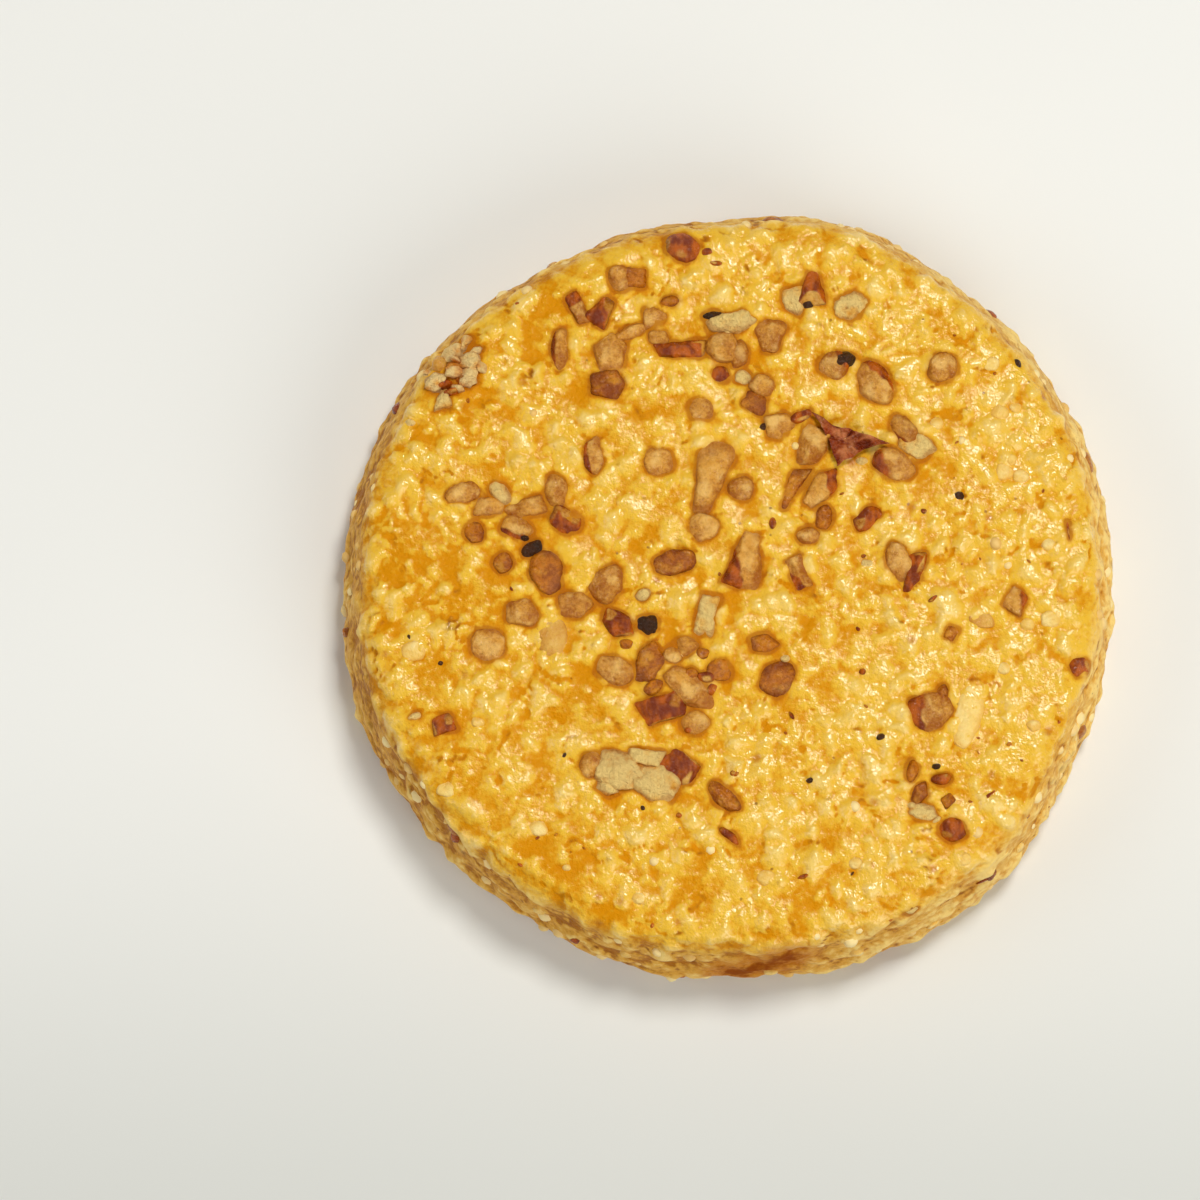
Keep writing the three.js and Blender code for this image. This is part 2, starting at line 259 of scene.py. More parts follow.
def place_object(data):
    piece = bpy.data.objects.new(data.name, data)
    bpy.context.scene.collection.objects.link(piece)
    return piece


def new_mesh(name, points_mm, faces, attributes=None):
    mesh = bpy.data.meshes.new(name)
    mesh.from_pydata((np.asarray(points_mm) * MM).tolist(), [], faces)
    for label, values in (attributes or {}).items():
        layer = mesh.attributes.new(label, "FLOAT", "POINT")
        layer.data.foreach_set("value", np.asarray(values, dtype=np.float32))
    mesh.polygons.foreach_set("use_smooth", [True] * len(mesh.polygons))
    mesh.update()
    return mesh


print("recipes ready")

# %% [markdown]
# ## The shape of the round
# A cut-out biscuit spreads a little in the oven, most at its foot. So the wall leans outwards going
# down, turns under at the tray, and the face rounds over softly at its edge. The outline isn't a
# true circle: it is a smooth closed line through its radius every 15 degrees.

# %% Sizes of the round
THICKNESS = 12.6
CROWN = 0.35
FACE_RADIUS = 33.6
SHOULDER_RADIUS = 36.5
SHOULDER_DROP = 2.4
SHOULDER_PULL = (0.5, 0.2)
WALL_END = 3.6
TURN_UNDER = 1.0
FOOT_INSET = 0.9
EDGE_RADII = np.array([
    38.1, 38.5, 38.7, 38.7, 38.8, 39.1, 38.0, 37.9, 37.8, 38.3, 38.6, 38.6,
    38.4, 38.7, 38.4, 38.2, 38.0, 38.5, 38.0, 38.4, 38.9, 39.0, 38.1, 38.1,
])
MEAN_EDGE = EDGE_RADII.mean()
print("mean radius", round(MEAN_EDGE, 2), "mm, thickness", THICKNESS, "mm")


def edge_share(angles):
    """How far out the edge lies at each angle, as a share of the mean radius."""
    turn = np.asarray(angles) / (2 * np.pi) % 1 * len(EDGE_RADII)
    step = np.floor(turn).astype(int)
    part = turn - step
    before, start, end, after = (EDGE_RADII[(step + k) % len(EDGE_RADII)] for k in (-1, 0, 1, 2))
    bend = 2 * before - 5 * start + 4 * end - after
    twist = 3 * (start - end) + after - before
    radius = start + 0.5 * part * (end - before + part * (bend + part * twist))
    return radius / MEAN_EDGE


def arc(start, corner, end, steps=24):
    """A quarter bend that leaves start towards corner and arrives at end."""
    share = np.linspace(0, 1, steps)[:, None]
    start, corner, end = (np.array(point, dtype=float) for point in (start, corner, end))
    return (1 - share) ** 2 * start + 2 * share * (1 - share) * corner + share ** 2 * end


face_edge = (FACE_RADIUS, THICKNESS - CROWN)
shoulder_corner = (SHOULDER_RADIUS - SHOULDER_PULL[0], THICKNESS - CROWN - SHOULDER_PULL[1])
shoulder_end = (SHOULDER_RADIUS, THICKNESS - SHOULDER_DROP)
foot_start = (MEAN_EDGE, WALL_END)
foot_corner = (MEAN_EDGE, TURN_UNDER)
foot_end = (MEAN_EDGE - FOOT_INSET, 0.0)
section = np.vstack([arc(face_edge, shoulder_corner, shoulder_end),
                     arc(foot_start, foot_corner, foot_end)])


def evenly(points, count):
    """The same line, cut into count equal steps."""
    lengths = np.r_[0, np.cumsum(np.linalg.norm(np.diff(points, axis=0), axis=1))]
    marks = np.linspace(0, lengths[-1], count + 1)
    return np.column_stack([np.interp(marks, lengths, column) for column in points.T])


print("section from", section[0], "to", section[-1])

# %% [markdown]
# ## A mesh for the dough
# The relief is finer than a millimetre, so the dough needs triangles of about 0.3 mm, all of one
# size. Rings of equal segments would give needles in the middle. Here each ring has six points more
# than the one inside it, like the rings of a honeycomb, which keeps every triangle nearly equal. The
# wall carries the outermost ring down, and the underside, which is plainer, has half as many points.

# %% The plain dough
FACE_RINGS = 120
WALL_RINGS = 46
UNDER_RINGS = FACE_RINGS // 2
EDGE_POINTS = 6 * FACE_RINGS


def honeycomb_faces(rings, start_of, upwards):
    """Triangles of a disc whose ring k has 6 k points. start_of gives each ring's first point."""
    faces = []
    for ring in range(rings):
        inner_count, outer_count = max(1, 6 * ring), 6 * (ring + 1)
        inner_first, outer_first = start_of(ring), start_of(ring + 1)
        for sector in range(6):
            for step in range(ring + 1):
                inner = inner_first + (sector * ring + step) % inner_count
                outer = outer_first + sector * (ring + 1) + step
                outer_next = outer_first + (sector * (ring + 1) + step + 1) % outer_count
                faces.append((outer, outer_next, inner) if upwards else (outer_next, outer, inner))
                if step < ring:
                    inner_next = inner_first + (sector * ring + step + 1) % inner_count
                    turn = (inner, outer_next, inner_next)
                    faces.append(turn if upwards else turn[::-1])
    return faces


def ring_points(radius, height, count, outline_share=1.0):
    angles = 2 * np.pi * np.arange(count) / count
    radii = radius * (1 + (edge_share(angles) - 1) * outline_share)
    return np.column_stack([radii * np.cos(angles), radii * np.sin(angles), np.full(count, height)])


def plain_dough():
    points, faces, on_wall, on_under = [], [], [], []

    def add_ring(ring, wall, under):
        start = sum(len(part) for part in points)
        points.append(ring)
        on_wall.append(np.full(len(ring), wall))
        on_under.append(np.full(len(ring), under))
        return start

    face_starts = []
    for ring in range(FACE_RINGS + 1):
        share = ring / FACE_RINGS
        height = THICKNESS - CROWN * share ** 2
        around = ring_points(FACE_RADIUS * share, height, max(1, 6 * ring), share)
        face_starts.append(add_ring(around, 0.0, 0.0))
    faces += honeycomb_faces(FACE_RINGS, face_starts.__getitem__, upwards=True)

    above = face_starts[-1]
    for level, (radius, height) in enumerate(evenly(section, WALL_RINGS)[1:], start=1):
        below = add_ring(ring_points(radius, height, EDGE_POINTS), level / WALL_RINGS, 0.0)
        for step in range(EDGE_POINTS):
            following = (step + 1) % EDGE_POINTS
            faces.append((above + step, below + step, below + following, above + following))
        above = below

    # The first ring of the underside has half the points, so each of its steps meets two.
    under_starts = {}
    for ring in range(UNDER_RINGS, -1, -1):
        share = ring / (UNDER_RINGS + 1)
        around = ring_points(foot_end[0] * share, 0.0, max(1, 6 * ring), share)
        under_starts[ring] = add_ring(around, 0.0, 1.0)
    outer = under_starts[UNDER_RINGS]
    for step in range(EDGE_POINTS // 2):
        inner, inner_next = outer + step, outer + (step + 1) % (EDGE_POINTS // 2)
        first, middle, last = (above + (2 * step + k) % EDGE_POINTS for k in range(3))
        faces += [(first, inner, middle), (middle, inner, inner_next), (middle, inner_next, last)]
    faces += honeycomb_faces(UNDER_RINGS, under_starts.__getitem__, upwards=False)

    attributes = {"wall": np.concatenate(on_wall), "under": np.concatenate(on_under)}
    return new_mesh("plain dough", np.vstack(points), faces, attributes)


dough_carrier = place_object(plain_dough())
print("plain dough:", len(dough_carrier.data.polygons), "faces")

# %% [markdown]
# ## Relief
# Under the egg wash lie lumps of dough of two to three millimetres and puffed grains of about one,
# with hollows between them where the wash pooled. The wall wasn't brushed: it is rougher, with
# torn crags, and pits where grains fell out. The underside only has small pits from the tray.
#
# A displacement in the shader would be lost on export, so Geometry Nodes move the points
# themselves. Each height is also stored as an attribute, because the colour follows it: lumps are
# pale, and hollows are orange, partly the wash's own colour and partly painted light and shade.
# On the wall the height is blurred a little, so that a crag has a crumbling edge and not a spike.

# %% The relief recipe
relief_inputs = {
    "Swell size": 11.0, "Swell height": 0.34,
    "Blotch size": 3.0, "Blotch height": 0.7,
    "Lump size": 2.3, "Lump height": 0.58,
    "Grain size": 1.2, "Grain height": 0.25,
    "Crumb size": 0.8, "Crumb height": 0.11,
    "Crease size": 4.2, "Crease depth": 0.3,
    "Crag size": 3.4, "Crag height": 1.2,
    "Pit size": 1.9, "Pit depth": 0.55,
}
MIDDLE = 0.5
FACE_TO_WALL = (0.12, 0.34)
LUMP_EDGE = (0.64, 0.1)
GRAIN_EDGE = (0.55, 0.1)
PULL_SIZE = 2.2
PULL_REACH = 3.0
CREASE_WIDTH = 0.028
PIT_EDGE = (0.34, 0.12)
RARE = 0.93
BLUR_ROUNDS = 2

tree, given, result = new_recipe("relief of the dough", relief_inputs)
here = place_in_mm(tree)
wall, under = read(tree, "wall", "under")
on_wall = rising(wall, *FACE_TO_WALL)
on_top = 1.0 - under

# Each noise is read at its own shifted place, so that no two of them agree.
swell = cloud(shifted(here, (3, 8, 0)), given["Swell size"], detail=1.0) - MIDDLE
blotch = cloud(shifted(here, (8, 5, 1)), given["Blotch size"], 4.0, 0.6) - MIDDLE

# The places are first pulled about by noise, so that no two lumps are alike. Lumps fade in and
# out over the face, so that smooth places stay between them.
pull = cloud(shifted(here, (6, 6, 2)), PULL_SIZE, detail=1.0, output="Color")
pull = vector("SCALE", vector("SUBTRACT", pull, (MIDDLE,) * 3), PULL_REACH)
pulled = vector("ADD", here, pull)
lump_cells = cells(shifted(pulled, (0, 0, 5)), given["Lump size"], 0.2)
lump = rising(lump_cells["Distance"], *LUMP_EDGE)
lump_share = rising(cloud(shifted(pulled, (9, 2, 4)), 7.0), 0.36, 0.62) * 0.65 + 0.35

grain_cells = cells(shifted(pulled, (4, 1, 0)), given["Grain size"], 0.15)
grain = rising(grain_cells["Distance"], *GRAIN_EDGE)
grain_mask = rising(cloud(shifted(pulled, (1, 7, 3)), 5.0), 0.42, 0.6)
grain_share = sum_of("MAXIMUM", grain_mask, on_wall * 0.8)

crumb = cloud(shifted(here, (2, 2, 2)), given["Crumb size"], 3.0) - MIDDLE

# A crease runs where a noise passes through its middle value, as a shoreline does.
crease = cloud(shifted(here, (3, 1, 8)), given["Crease size"]) - MIDDLE
crease_mask = rising(cloud(shifted(here, (2, 5, 9)), 3.4), 0.5, 0.62)
crease = rising(abs(crease), CREASE_WIDTH, 0.0) * sum_of("MAXIMUM", crease_mask, on_wall * 0.6)

crag = cloud(shifted(here, (5, 5, 5), (0.8, 0.8, 1.3)), given["Crag size"], 4.0, 0.55) - MIDDLE

# A pit is a cell whose own random number is high enough, and it is as wide as its middle part.
pit_cells = cells(shifted(here, (7, 3, 1)), given["Pit size"])
luck = split(pit_cells["Color"])[0]
pit = (luck > RARE - on_wall * 0.19 - under * 0.2) * rising(pit_cells["Distance"], *PIT_EDGE)

height = (
    swell * 2.0 * given["Swell height"] * on_top
    + blotch * given["Blotch height"] * on_top
    + (lump - 0.5) * lump_share * given["Lump height"] * on_top
    + grain * grain_share * given["Grain height"] * on_top
    + crumb * given["Crumb height"] * (1.0 + on_wall * 1.2) * on_top
    + crag * given["Crag height"] * on_wall * on_top
    - pit * given["Pit depth"] * (0.35 + on_wall * 0.65)
    - crease * given["Crease depth"] * on_top
)
height = softened(height, BLUR_ROUNDS, on_wall * 0.8)
normal = add(tree, "GeometryNodeInputNormal")[0]
moved = move(given["Geometry"], Offset=vector("SCALE", normal, height * MM))

# Nothing may reach below the tray.
x, y, z = split(position(tree))
moved = move(moved, Position=joint(x, y, sum_of("MAXIMUM", z, 0.0)))

heights = {"lump": lump * lump_share, "grain": grain * grain_share, "blotch": blotch,
           "crag": crag, "crease": crease, "pit": pit, "on_wall": on_wall}
for name, value in heights.items():
    moved = store(moved, name, value)
result.fill({0: moved})

# %% The baked dough
dough = cooked(dough_carrier, tree, relief_inputs, "dough")
top = max(vertex.co.z for vertex in dough.data.vertices) / MM
print("dough:", len(dough.data.polygons), "faces, top at", round(top, 2), "mm")

# %% [markdown]
# ## The ground that the nuts lie on
# Chips, flakes and seeds all sit on the dough, whose height changes from place to place. A ray
# dropped from above finds the height at one spot. For a chip, eight rays round it give the plane
# on which it rests, so that near the shoulder it leans with the face.

# %% Finding the surface
dough_tree = BVHTree.FromObject(dough, bpy.context.evaluated_depsgraph_get())
DROP_FROM = 30.0
FEELERS = 8


def surface_height(x, y):
    hit = dough_tree.ray_cast(Vector((x, y, DROP_FROM)) * MM, Vector((0, 0, -1)))[0]
    return hit.z / MM if hit else 0.0


def resting_frame(x, y, reach):
    """A matrix that stands things up from the surface, in mm: place and average slope."""
    angles = [2 * math.pi * k / FEELERS for k in range(FEELERS)]
    spots = [(math.cos(a) * reach, math.sin(a) * reach) for a in angles]
    heights = [surface_height(x + dx, y + dy) for dx, dy in spots]
    slope_x, slope_y = (
        sum(h * spot[axis] for h, spot in zip(heights, spots)) * 2 / (FEELERS * reach ** 2)
        for axis in (0, 1))
    upwards = Vector((-slope_x, -slope_y, 1)).normalized()
    turned = Vector((0, 0, 1)).rotation_difference(upwards).to_matrix().to_4x4()
    return Matrix.Translation((x, y, sum(heights) / FEELERS)) @ turned


print("the face is", round(surface_height(0, 0), 2), "mm high in the middle")

# %% [markdown]
# ## The walnut chips
# Chopped walnut breaks into blunt blocks: flat broken sides, soft edges, and here and there a
# strip of the dark skin. Each chip is listed with its place, size and look. Its shape comes from
# a few planes: for every direction, a point lies where the nearest plane stops it. Adding the
# planes up with a high power rounds the edges between them, and a lower power rounds them more.
# A large crumbly piece is several chips pushed into each other.

# %% Where each chip lies
# x, y, length, width, look and rise, then the turn, the number of corners and the side of the
# dark skin. What is left out at the end of a row is 0 or none, and angles are in degrees.
CHIPS = [
    # far rim
    (-4.5, 33.3, 3.3, 3, "skin", 0.5), (-9.2, 30.3, 2.4, 2, "amber", 0.4, 0, 4),
    (-10.9, 30.2, 2.6, 2.2, "nut", 0.5, 90), (7.9, 29, 3.6, 3.2, "skin", 0.7, 90, 3),
    (6.5, 28, 2.8, 2.6, "cream", 0.4, 0, 5), (12, 27.4, 3.6, 2.6, "cream", 0.4, 10, 5),
    # far left
    (-14.9, 27.2, 3.4, 1.6, "nut", 0.6, -60, 4, 120), (-12.5, 26.8, 3, 2.4, "skin", 0.7, 55, 3),
    (-16.7, 23.1, 4.2, 1.8, "nut", 0.7, 86, 0, 180), (-11.8, 22.7, 4, 3.2, "nut", 0.6, 90, 5),
    (-12, 19.5, 3.4, 2.9, "amber", 0.6, 0, 5), (-13.4, 12.4, 3.8, 2, "nut", 0.5, 90, 0, 190),
    # far middle
    (-7.3, 26.3, 2.4, 2.2, "nut", 0.4, 0, 3), (-9.7, 24.8, 3.4, 1.3, "nut", 0.4, 20),
    (-7, 24.2, 2, 1.5, "nut", 0.4), (-4.9, 23, 5, 1.8, "skin", 0.6, 2, 4),
    (-0.7, 23.3, 3.3, 3.1, "nut", 0.7), (1, 22.4, 2.8, 1.6, "nut", 0.5, 75),
    (0.3, 25.8, 4.8, 2.2, "cream", 0.7, 5, 5), (4, 24.3, 3.4, 3, "nut", 0.6, -90, 3),
    (10.2, 21.4, 3.2, 3, "nut", 0.7, 0, 0, 30), (14.3, 19.5, 4.8, 3.2, "nut", 0.8, -60, 0, 45),
    (20.9, 21.2, 3, 3, "nut", 0.6), (3.1, 19.4, 2.6, 2.2, "nut", 0.5),
    (2.5, 17.6, 2.7, 2, "amber", 0.4, -30), (-2.9, 17.1, 2.4, 2.2, "nut", 0.3),
    # middle
    (4.8, 15.3, 3, 2.6, "nut", 0.5, 0, 5), (8.1, 13.4, 4.1, 3, "nut", 0.8, 72, 4),
    (17, 14.9, 3.4, 2.4, "nut", 0.7, -40, 0, 230), (18.3, 13.4, 3.6, 2.4, "cream", 0.6, -20, 5),
    (16, 11.5, 4.4, 3.2, "nut", 0.7, -10, 0, 200), (6.2, 9.2, 4.7, 1.7, "amber", 0.4, -115, 3),
    (8.9, 9.2, 4.6, 2.5, "nut", 0.7, 51, 5, 10), (9.2, 6.3, 2.6, 1.6, "amber", 0.5, 80),
    (7.6, 4.5, 2.4, 1.8, "nut", 0.5), (-1.9, 10.2, 6.9, 3.2, "nut", 0.8, -103, 3),
    (-7, 11.8, 2.8, 2.8, "nut", 0.4), (1, 9.2, 2.6, 2.4, "nut", 0.5), (-2.5, 5.3, 3, 2.9, "nut", 0.5),
    (-5.4, 1.8, 4.2, 2.6, "amber", 0.5, 5), (1.5, 2.1, 5.6, 3.4, "nut", 0.8, 75, 3, 190),
    (6.6, 0.8, 3.4, 1.9, "nut", 0.5, 110, 4, 225), (13.3, 6.2, 2.8, 1.8, "skin", 0.5, 38),
    (16.4, 2, 3.8, 2.4, "nut", 0.7, 105), (18, 0.9, 4, 1.7, "skin", 0.6, 78, 4),
    # left
    (-26.2, 8.8, 3.6, 2.2, "nut", 0.4, 20), (-23.7, 7.5, 3, 1.9, "nut", 0.4, 0, 4),
    (-22.6, 8.9, 2.6, 1.6, "cream", 0.4, -50), (-20, 7.4, 4, 2, "nut", 0.6, 10, 4),
    (-20.8, 5.3, 3.2, 2.2, "nut", 0.5, -20, 0, 250), (-17, 9, 3.3, 2.2, "nut", 0.5, 100),
    (-16, 6, 3.3, 2.6, "skin", 0.5, -35, 5), (-25.1, 4.9, 2.3, 1.9, "amber", 0.4, 100),
    (-19.4, 3.3, 2.2, 1.4, "char", 0.4, 30), (-22.2, 1.9, 2.1, 1.9, "amber", 0.4, 50),
    (-18, 0.9, 4.5, 3.3, "amber", 0.6, 105), (-15.1, -2.2, 3.5, 2.8, "nut", 0.5, 0, 5),
    (-20.3, -3, 3.2, 2.8, "nut", 0.6, 0, 5), (-12.1, -0.3, 3.9, 3.4, "nut", 0.7, 90),
    (-17.5, -5.5, 4.2, 3.2, "buried", 0.3, 90), (-23.7, -6.2, 3.4, 3.2, "nut", 0.4),
    (-28, -14, 2.3, 1.9, "skin", 0.4, 20, 4),
    # near middle
    (-11, -4.2, 3.6, 2.4, "skin", 0.6, -35, 5), (-8.1, -4.3, 2.1, 2.1, "char", 0.5),
    (-11.3, -8.8, 3.8, 2.8, "nut", 0.5, -25), (-7.8, -7.8, 4, 2.8, "amber", 0.6, 75, 5),
    (-5.7, -7.2, 2, 1.8, "nut", 0.4), (-4.3, -6.4, 2.1, 2, "nut", 0.5),
    (-2.3, -3.4, 4.1, 2.1, "cream", 0.6, 75, 4), (-4.2, -10.5, 5.4, 2.8, "nut", 0.6, -38, 5),
    (-1.1, -8.7, 2.4, 2.3, "amber", 0.4), (-6.7, -12.5, 4.6, 2.6, "skin", 0.6, 15, 4),
    (-3.4, -13.9, 2.9, 2.4, "nut", 0.5), (3.4, -6.1, 2.9, 1.9, "amber", 0.4, 0, 5),
    (4.5, -9.6, 3.6, 3.2, "amber", 0.5), (-10.6, -18.7, 5.4, 3.9, "cream", 0.9, -20, 5),
    (-7.4, -19.6, 4.8, 3.6, "cream", 0.85, -30, 4), (-13.6, -18, 2.7, 2.4, "nut", 0.5, 80),
    (-8.2, -17.3, 3.6, 1.6, "cream", 0.7, -6, 4), (-12, -20.2, 2.3, 1.5, "cream", 0.6, -20, 5),
    (-5, -18.1, 3.6, 2.6, "skin", 0.6, -40, 4), (-0.7, -21.2, 4, 2, "amber", 0.6, -40),
    # near right
    (19.5, -12.8, 4.4, 3.5, "nut", 0.6, 0, 0, 180), (23, -13.2, 6.4, 2.6, "pale", 0.3, 75),
    (17.6, -18.7, 2.3, 1.3, "amber", 0.5, 80), (20.4, -19.4, 1.9, 1, "skin", 0.4),
    (18.3, -20.8, 2.2, 1.5, "amber", 0.4, 60, 5), (21, -21.5, 1.4, 1.2, "amber", 0.4, 40, 4),
    (18.7, -22.6, 2.8, 1.7, "cream", 0.4, -20, 5), (21.4, -24.4, 2.4, 2.3, "skin", 0.5),
    (27.8, -2, 2.4, 2.2, "nut", 0.5, 60, 4, 0), (21.5, -5.2, 1.6, 1.4, "amber", 0.3, 70, 4),
    (24.5, -3.8, 2.5, 1.7, "buried", 0.2, -10), (34.2, -8.4, 2.1, 1.9, "skin", 0.4, 90),
    # the crumpled pale piece at the far left
    (-27.1, 22.7, 2.6, 1.8, "flake", 0.9, 35, 5), (-25.5, 21.9, 2.1, 1.5, "flake", 0.8, 10, 5),
    (-25.8, 20.3, 2.3, 1.9, "flake", 0.7, 30), (-27, 20.9, 1.8, 1.5, "flake", 0.8, 0, 5),
    (-28.9, 19.9, 2.1, 1.8, "flake", 0.7, 50), (-26, 23.8, 1.8, 0.9, "flake", 0.6, 60),
    (-28.4, 21.6, 1.9, 1.7, "buried", 1.1, 80), (-28.2, 18.1, 2.1, 1.8, "cream", 0.5, 95, 3),
    (-26.1, 20.4, 1.4, 0.4, "skin", 0.95, 25), (-28.1, 19.6, 1.5, 0.8, "skin", 0.75, 20),
    (-25, 22.9, 1.6, 0.7, "flake", 0.7, 25, 5), (-24.4, 21.3, 1.3, 0.8, "flake", 0.6, -50, 5),
    (-29.6, 20.8, 1.2, 0.8, "flake", 0.7, 70, 5), (-26.7, 19.2, 1.4, 0.7, "flake", 0.6, -20, 5),
    (-26.9, 22, 1.5, 0.5, "flake", 1.15, -30, 5), (-27.4, 18.9, 1.6, 0.7, "skin", 0.7, 10),
]
print(len(CHIPS), "chips")

# %% [markdown]
# ## Crumbs, flecks and what the wall shows
# Chopping leaves crumbs, and flour leaves flecks of bran, so the face has small dark and pale
# specks between its chips. They are chips too, only smaller, so a short list of places is enough.
# Where the wall cuts through the dough it shows a nut or a lump here and there.

# %% Crumbs between the chips
# For each look and rise: x, y, length, width and any turn.
CRUMBS = {
    ("cream", 0.3): [
        (1.3, 20.2, 1.7, 1.5), (12.9, 11.9, 1.2, 0.8), (13.3, 1.7, 1.3, 1), (-30.8, -13.2, 1.5, 0.8, 20),
        (17.3, -32, 1.8, 1.3), (-31.4, 15.9, 1, 0.8), (17.6, -22, 0.9, 0.7), (19.9, -23.4, 1, 0.6, 40),
        (-4.9, -7.3, 0.7, 0.6), (-0.1, 25, 1.2, 0.9), (-8.6, -1.4, 1.6, 1.1, 30), (5.3, -7.6, 0.9, 0.7)],
    ("skin", 0.3): [
        (4.1, 5.7, 1.2, 0.7, 90), (13, 2.5, 0.5, 0.4), (19.7, -1.8, 1.1, 0.4, 30),
        (-0.2, -24.9, 2.3, 0.8, -40), (-2.4, -9.4, 1.8, 1.1), (-4.9, -17.9, 0.8, 0.6),
        (12.8, -8.9, 0.7, 0.6), (5.9, -13.2, 0.9, 0.4, -60), (-2.2, 32.8, 1, 0.8), (-1.3, 31.6, 1.2, 0.6),
        (-0.9, 20.5, 1.8, 1.6), (0.3, -18.9, 0.8, 0.6), (-5.1, -22.9, 0.6, 0.5),
        (6.9, -28.9, 1.2, 0.4, 20), (18.9, 6.9, 0.6, 0.5), (7, 16.3, 2.3, 1.1, 20),
        (-1.9, -10.7, 1.2, 0.8, 60), (-4.1, -14.6, 0.8, 0.6, 10)],
    # thin dark slivers along short cracks
    ("skin", 0.05): [
        (33, 5.1, 1.7, 0.3, 95), (19.5, -30.7, 1, 0.3, 20), (21.7, -31.8, 1.1, 0.3, 15),
        (24.6, -29, 1.3, 0.35, 25), (25.1, -20.9, 1.3, 0.3, 40), (28.8, -23, 1.2, 0.35, 20)],
    ("amber", 0.4): [
        (-5.9, 27.9, 1.8, 1.2), (-7.5, -10.5, 2, 1.4, 40), (-3.9, -9.1, 1.6, 1.2), (-2.7, -7.1, 1.4, 1.1),
        (20.6, -10.9, 1.5, 1.1, 70), (-10.2, -6.2, 1.3, 1)],
    ("char", 0.35): [
        (28.3, 21.7, 1, 0.6, -55), (22.4, 8.4, 1, 0.9), (14.5, -15.3, 0.8, 0.7), (19.9, -18.2, 0.9, 0.6),
        (7.6, -19.5, 0.8, 0.6), (-1.5, 26.4, 2.2, 0.9), (3.3, 15.3, 0.8, 0.7), (7.7, 27.5, 1.1, 0.8),
        (-20.1, 4.3, 0.9, 0.7)],
    ("char", 1): [(11.2, 21.9, 2.2, 1.8, 20)],
    ("pale", 0.3): [
        (6.4, 13.4, 0.7, 0.7), (25.7, 21.5, 1.6, 1.4), (26.5, 16.8, 1.8, 1.6), (28, 17.2, 1.2, 1.1),
        (20.3, 15.6, 1.3, 1.2), (26.9, 10.8, 1.8, 1.7), (28.5, 10.4, 1.6, 1.4), (27.6, 12, 1.2, 1.1),
        (31.2, -3.8, 2, 1.7), (28.9, -4.3, 1.4, 1.2), (-30.9, -6.8, 2.4, 1.8, 20), (-27.8, -20.4, 2, 1.5),
        (-18.7, -24.2, 1.8, 1.5), (3.3, -29, 1.8, 1.5), (-16, -28, 0.8, 0.7), (31, 3.6, 1.3, 1.2),
        (-18.8, -31.8, 1.3, 1.1), (-27.8, -23.2, 0.7, 0.6), (-9, -31, 1.3, 1.1), (22.6, -27.2, 1.6, 1.3),
        (29.4, -14.2, 1.4, 1.2), (26.6, -8.6, 1.3, 1.1), (12, -27.6, 1.4, 1.1), (-24.6, -13.8, 1.3, 1)],
}
for (look, rise), crumbs in CRUMBS.items():
    CHIPS += [(x, y, length, width, look, rise, *turn) for x, y, length, width, *turn in crumbs]

# Flecks of bran and of burnt crust, each under a millimetre: only their places are listed.
FLECKS = {
    "skin": [
        (12.4, -4.7), (22.1, 24.4), (24, -15.4), (-21.4, -0.7), (-20.5, -27.7), (-18.8, -25.1),
        (-7.7, -33.6), (-20.9, 27.7), (28.2, -17.6), (31.9, -13.8)],
    "amber": [
        (29.1, 1.9), (30.6, 8.9), (24.4, 2.2), (22.6, 1.7), (-25.7, 18), (26, 20.6), (24, -16.8),
        (27, -16), (23.2, -21.6), (31.3, -21.4), (-1.1, 0.7), (22.2, 13.7), (5.3, -14.9), (-17, -24.8),
        (-14.3, -26.1), (15.4, -33), (10.9, 8.6), (13.1, -12.3)],
    "char": [(-31.4, -5.4), (-28.3, -8), (-16.2, -17), (-8.6, -22.2), (11.7, -28.6)],
}
FLECK_SIZE = (0.3, 0.55)
FLECK_RISE = 0.15
fleck_random = np.random.default_rng(21)
for look, places in FLECKS.items():
    for x, y in places:
        length = fleck_random.uniform(*FLECK_SIZE)
        width = length * fleck_random.uniform(0.5, 0.9)
        CHIPS.append((x, y, length, width, look, FLECK_RISE, fleck_random.uniform(0, 180)))
print(len(CHIPS), "chips, crumbs and flecks")

# %% Chips in the wall
# Angle round the cookie, height above the tray, length, width, look and rise.
WALL_CHIPS = [
    (221.5, 9.2, 2.1, 1.6, "amber", 0.4), (222.6, 8, 1.3, 1.1, "skin", 0.4),
    (262, 1.6, 1.8, 1.1, "skin", 0.3), (246, 5.6, 1, 0.7, "skin", 0.2),
    (312, 6.4, 1.6, 1.2, "amber", 0.3), (338, 5, 2.2, 1.6, "nut", 0.4), (20, 6, 2.6, 1.9, "nut", 0.4),
    (47, 4.2, 1.5, 1.1, "skin", 0.3), (83, 7, 2.4, 1.7, "amber", 0.4), (118, 5, 2, 1.5, "nut", 0.4),
    (151, 6.6, 1.7, 1.2, "skin", 0.3), (186, 4.6, 1.4, 1, "amber", 0.3),
    (254, 6.4, 1.3, 1.1, "pale", 0.3), (276, 4.4, 1.5, 1.3, "pale", 0.3),
    (289, 6.2, 1.4, 1.2, "pale", 0.3), (301, 4.8, 1.6, 1.4, "pale", 0.3),
    (318, 5.6, 1.3, 1.1, "pale", 0.3), (333, 7.2, 1.4, 1.2, "pale", 0.3),
]
print(len(WALL_CHIPS), "chips in the wall")

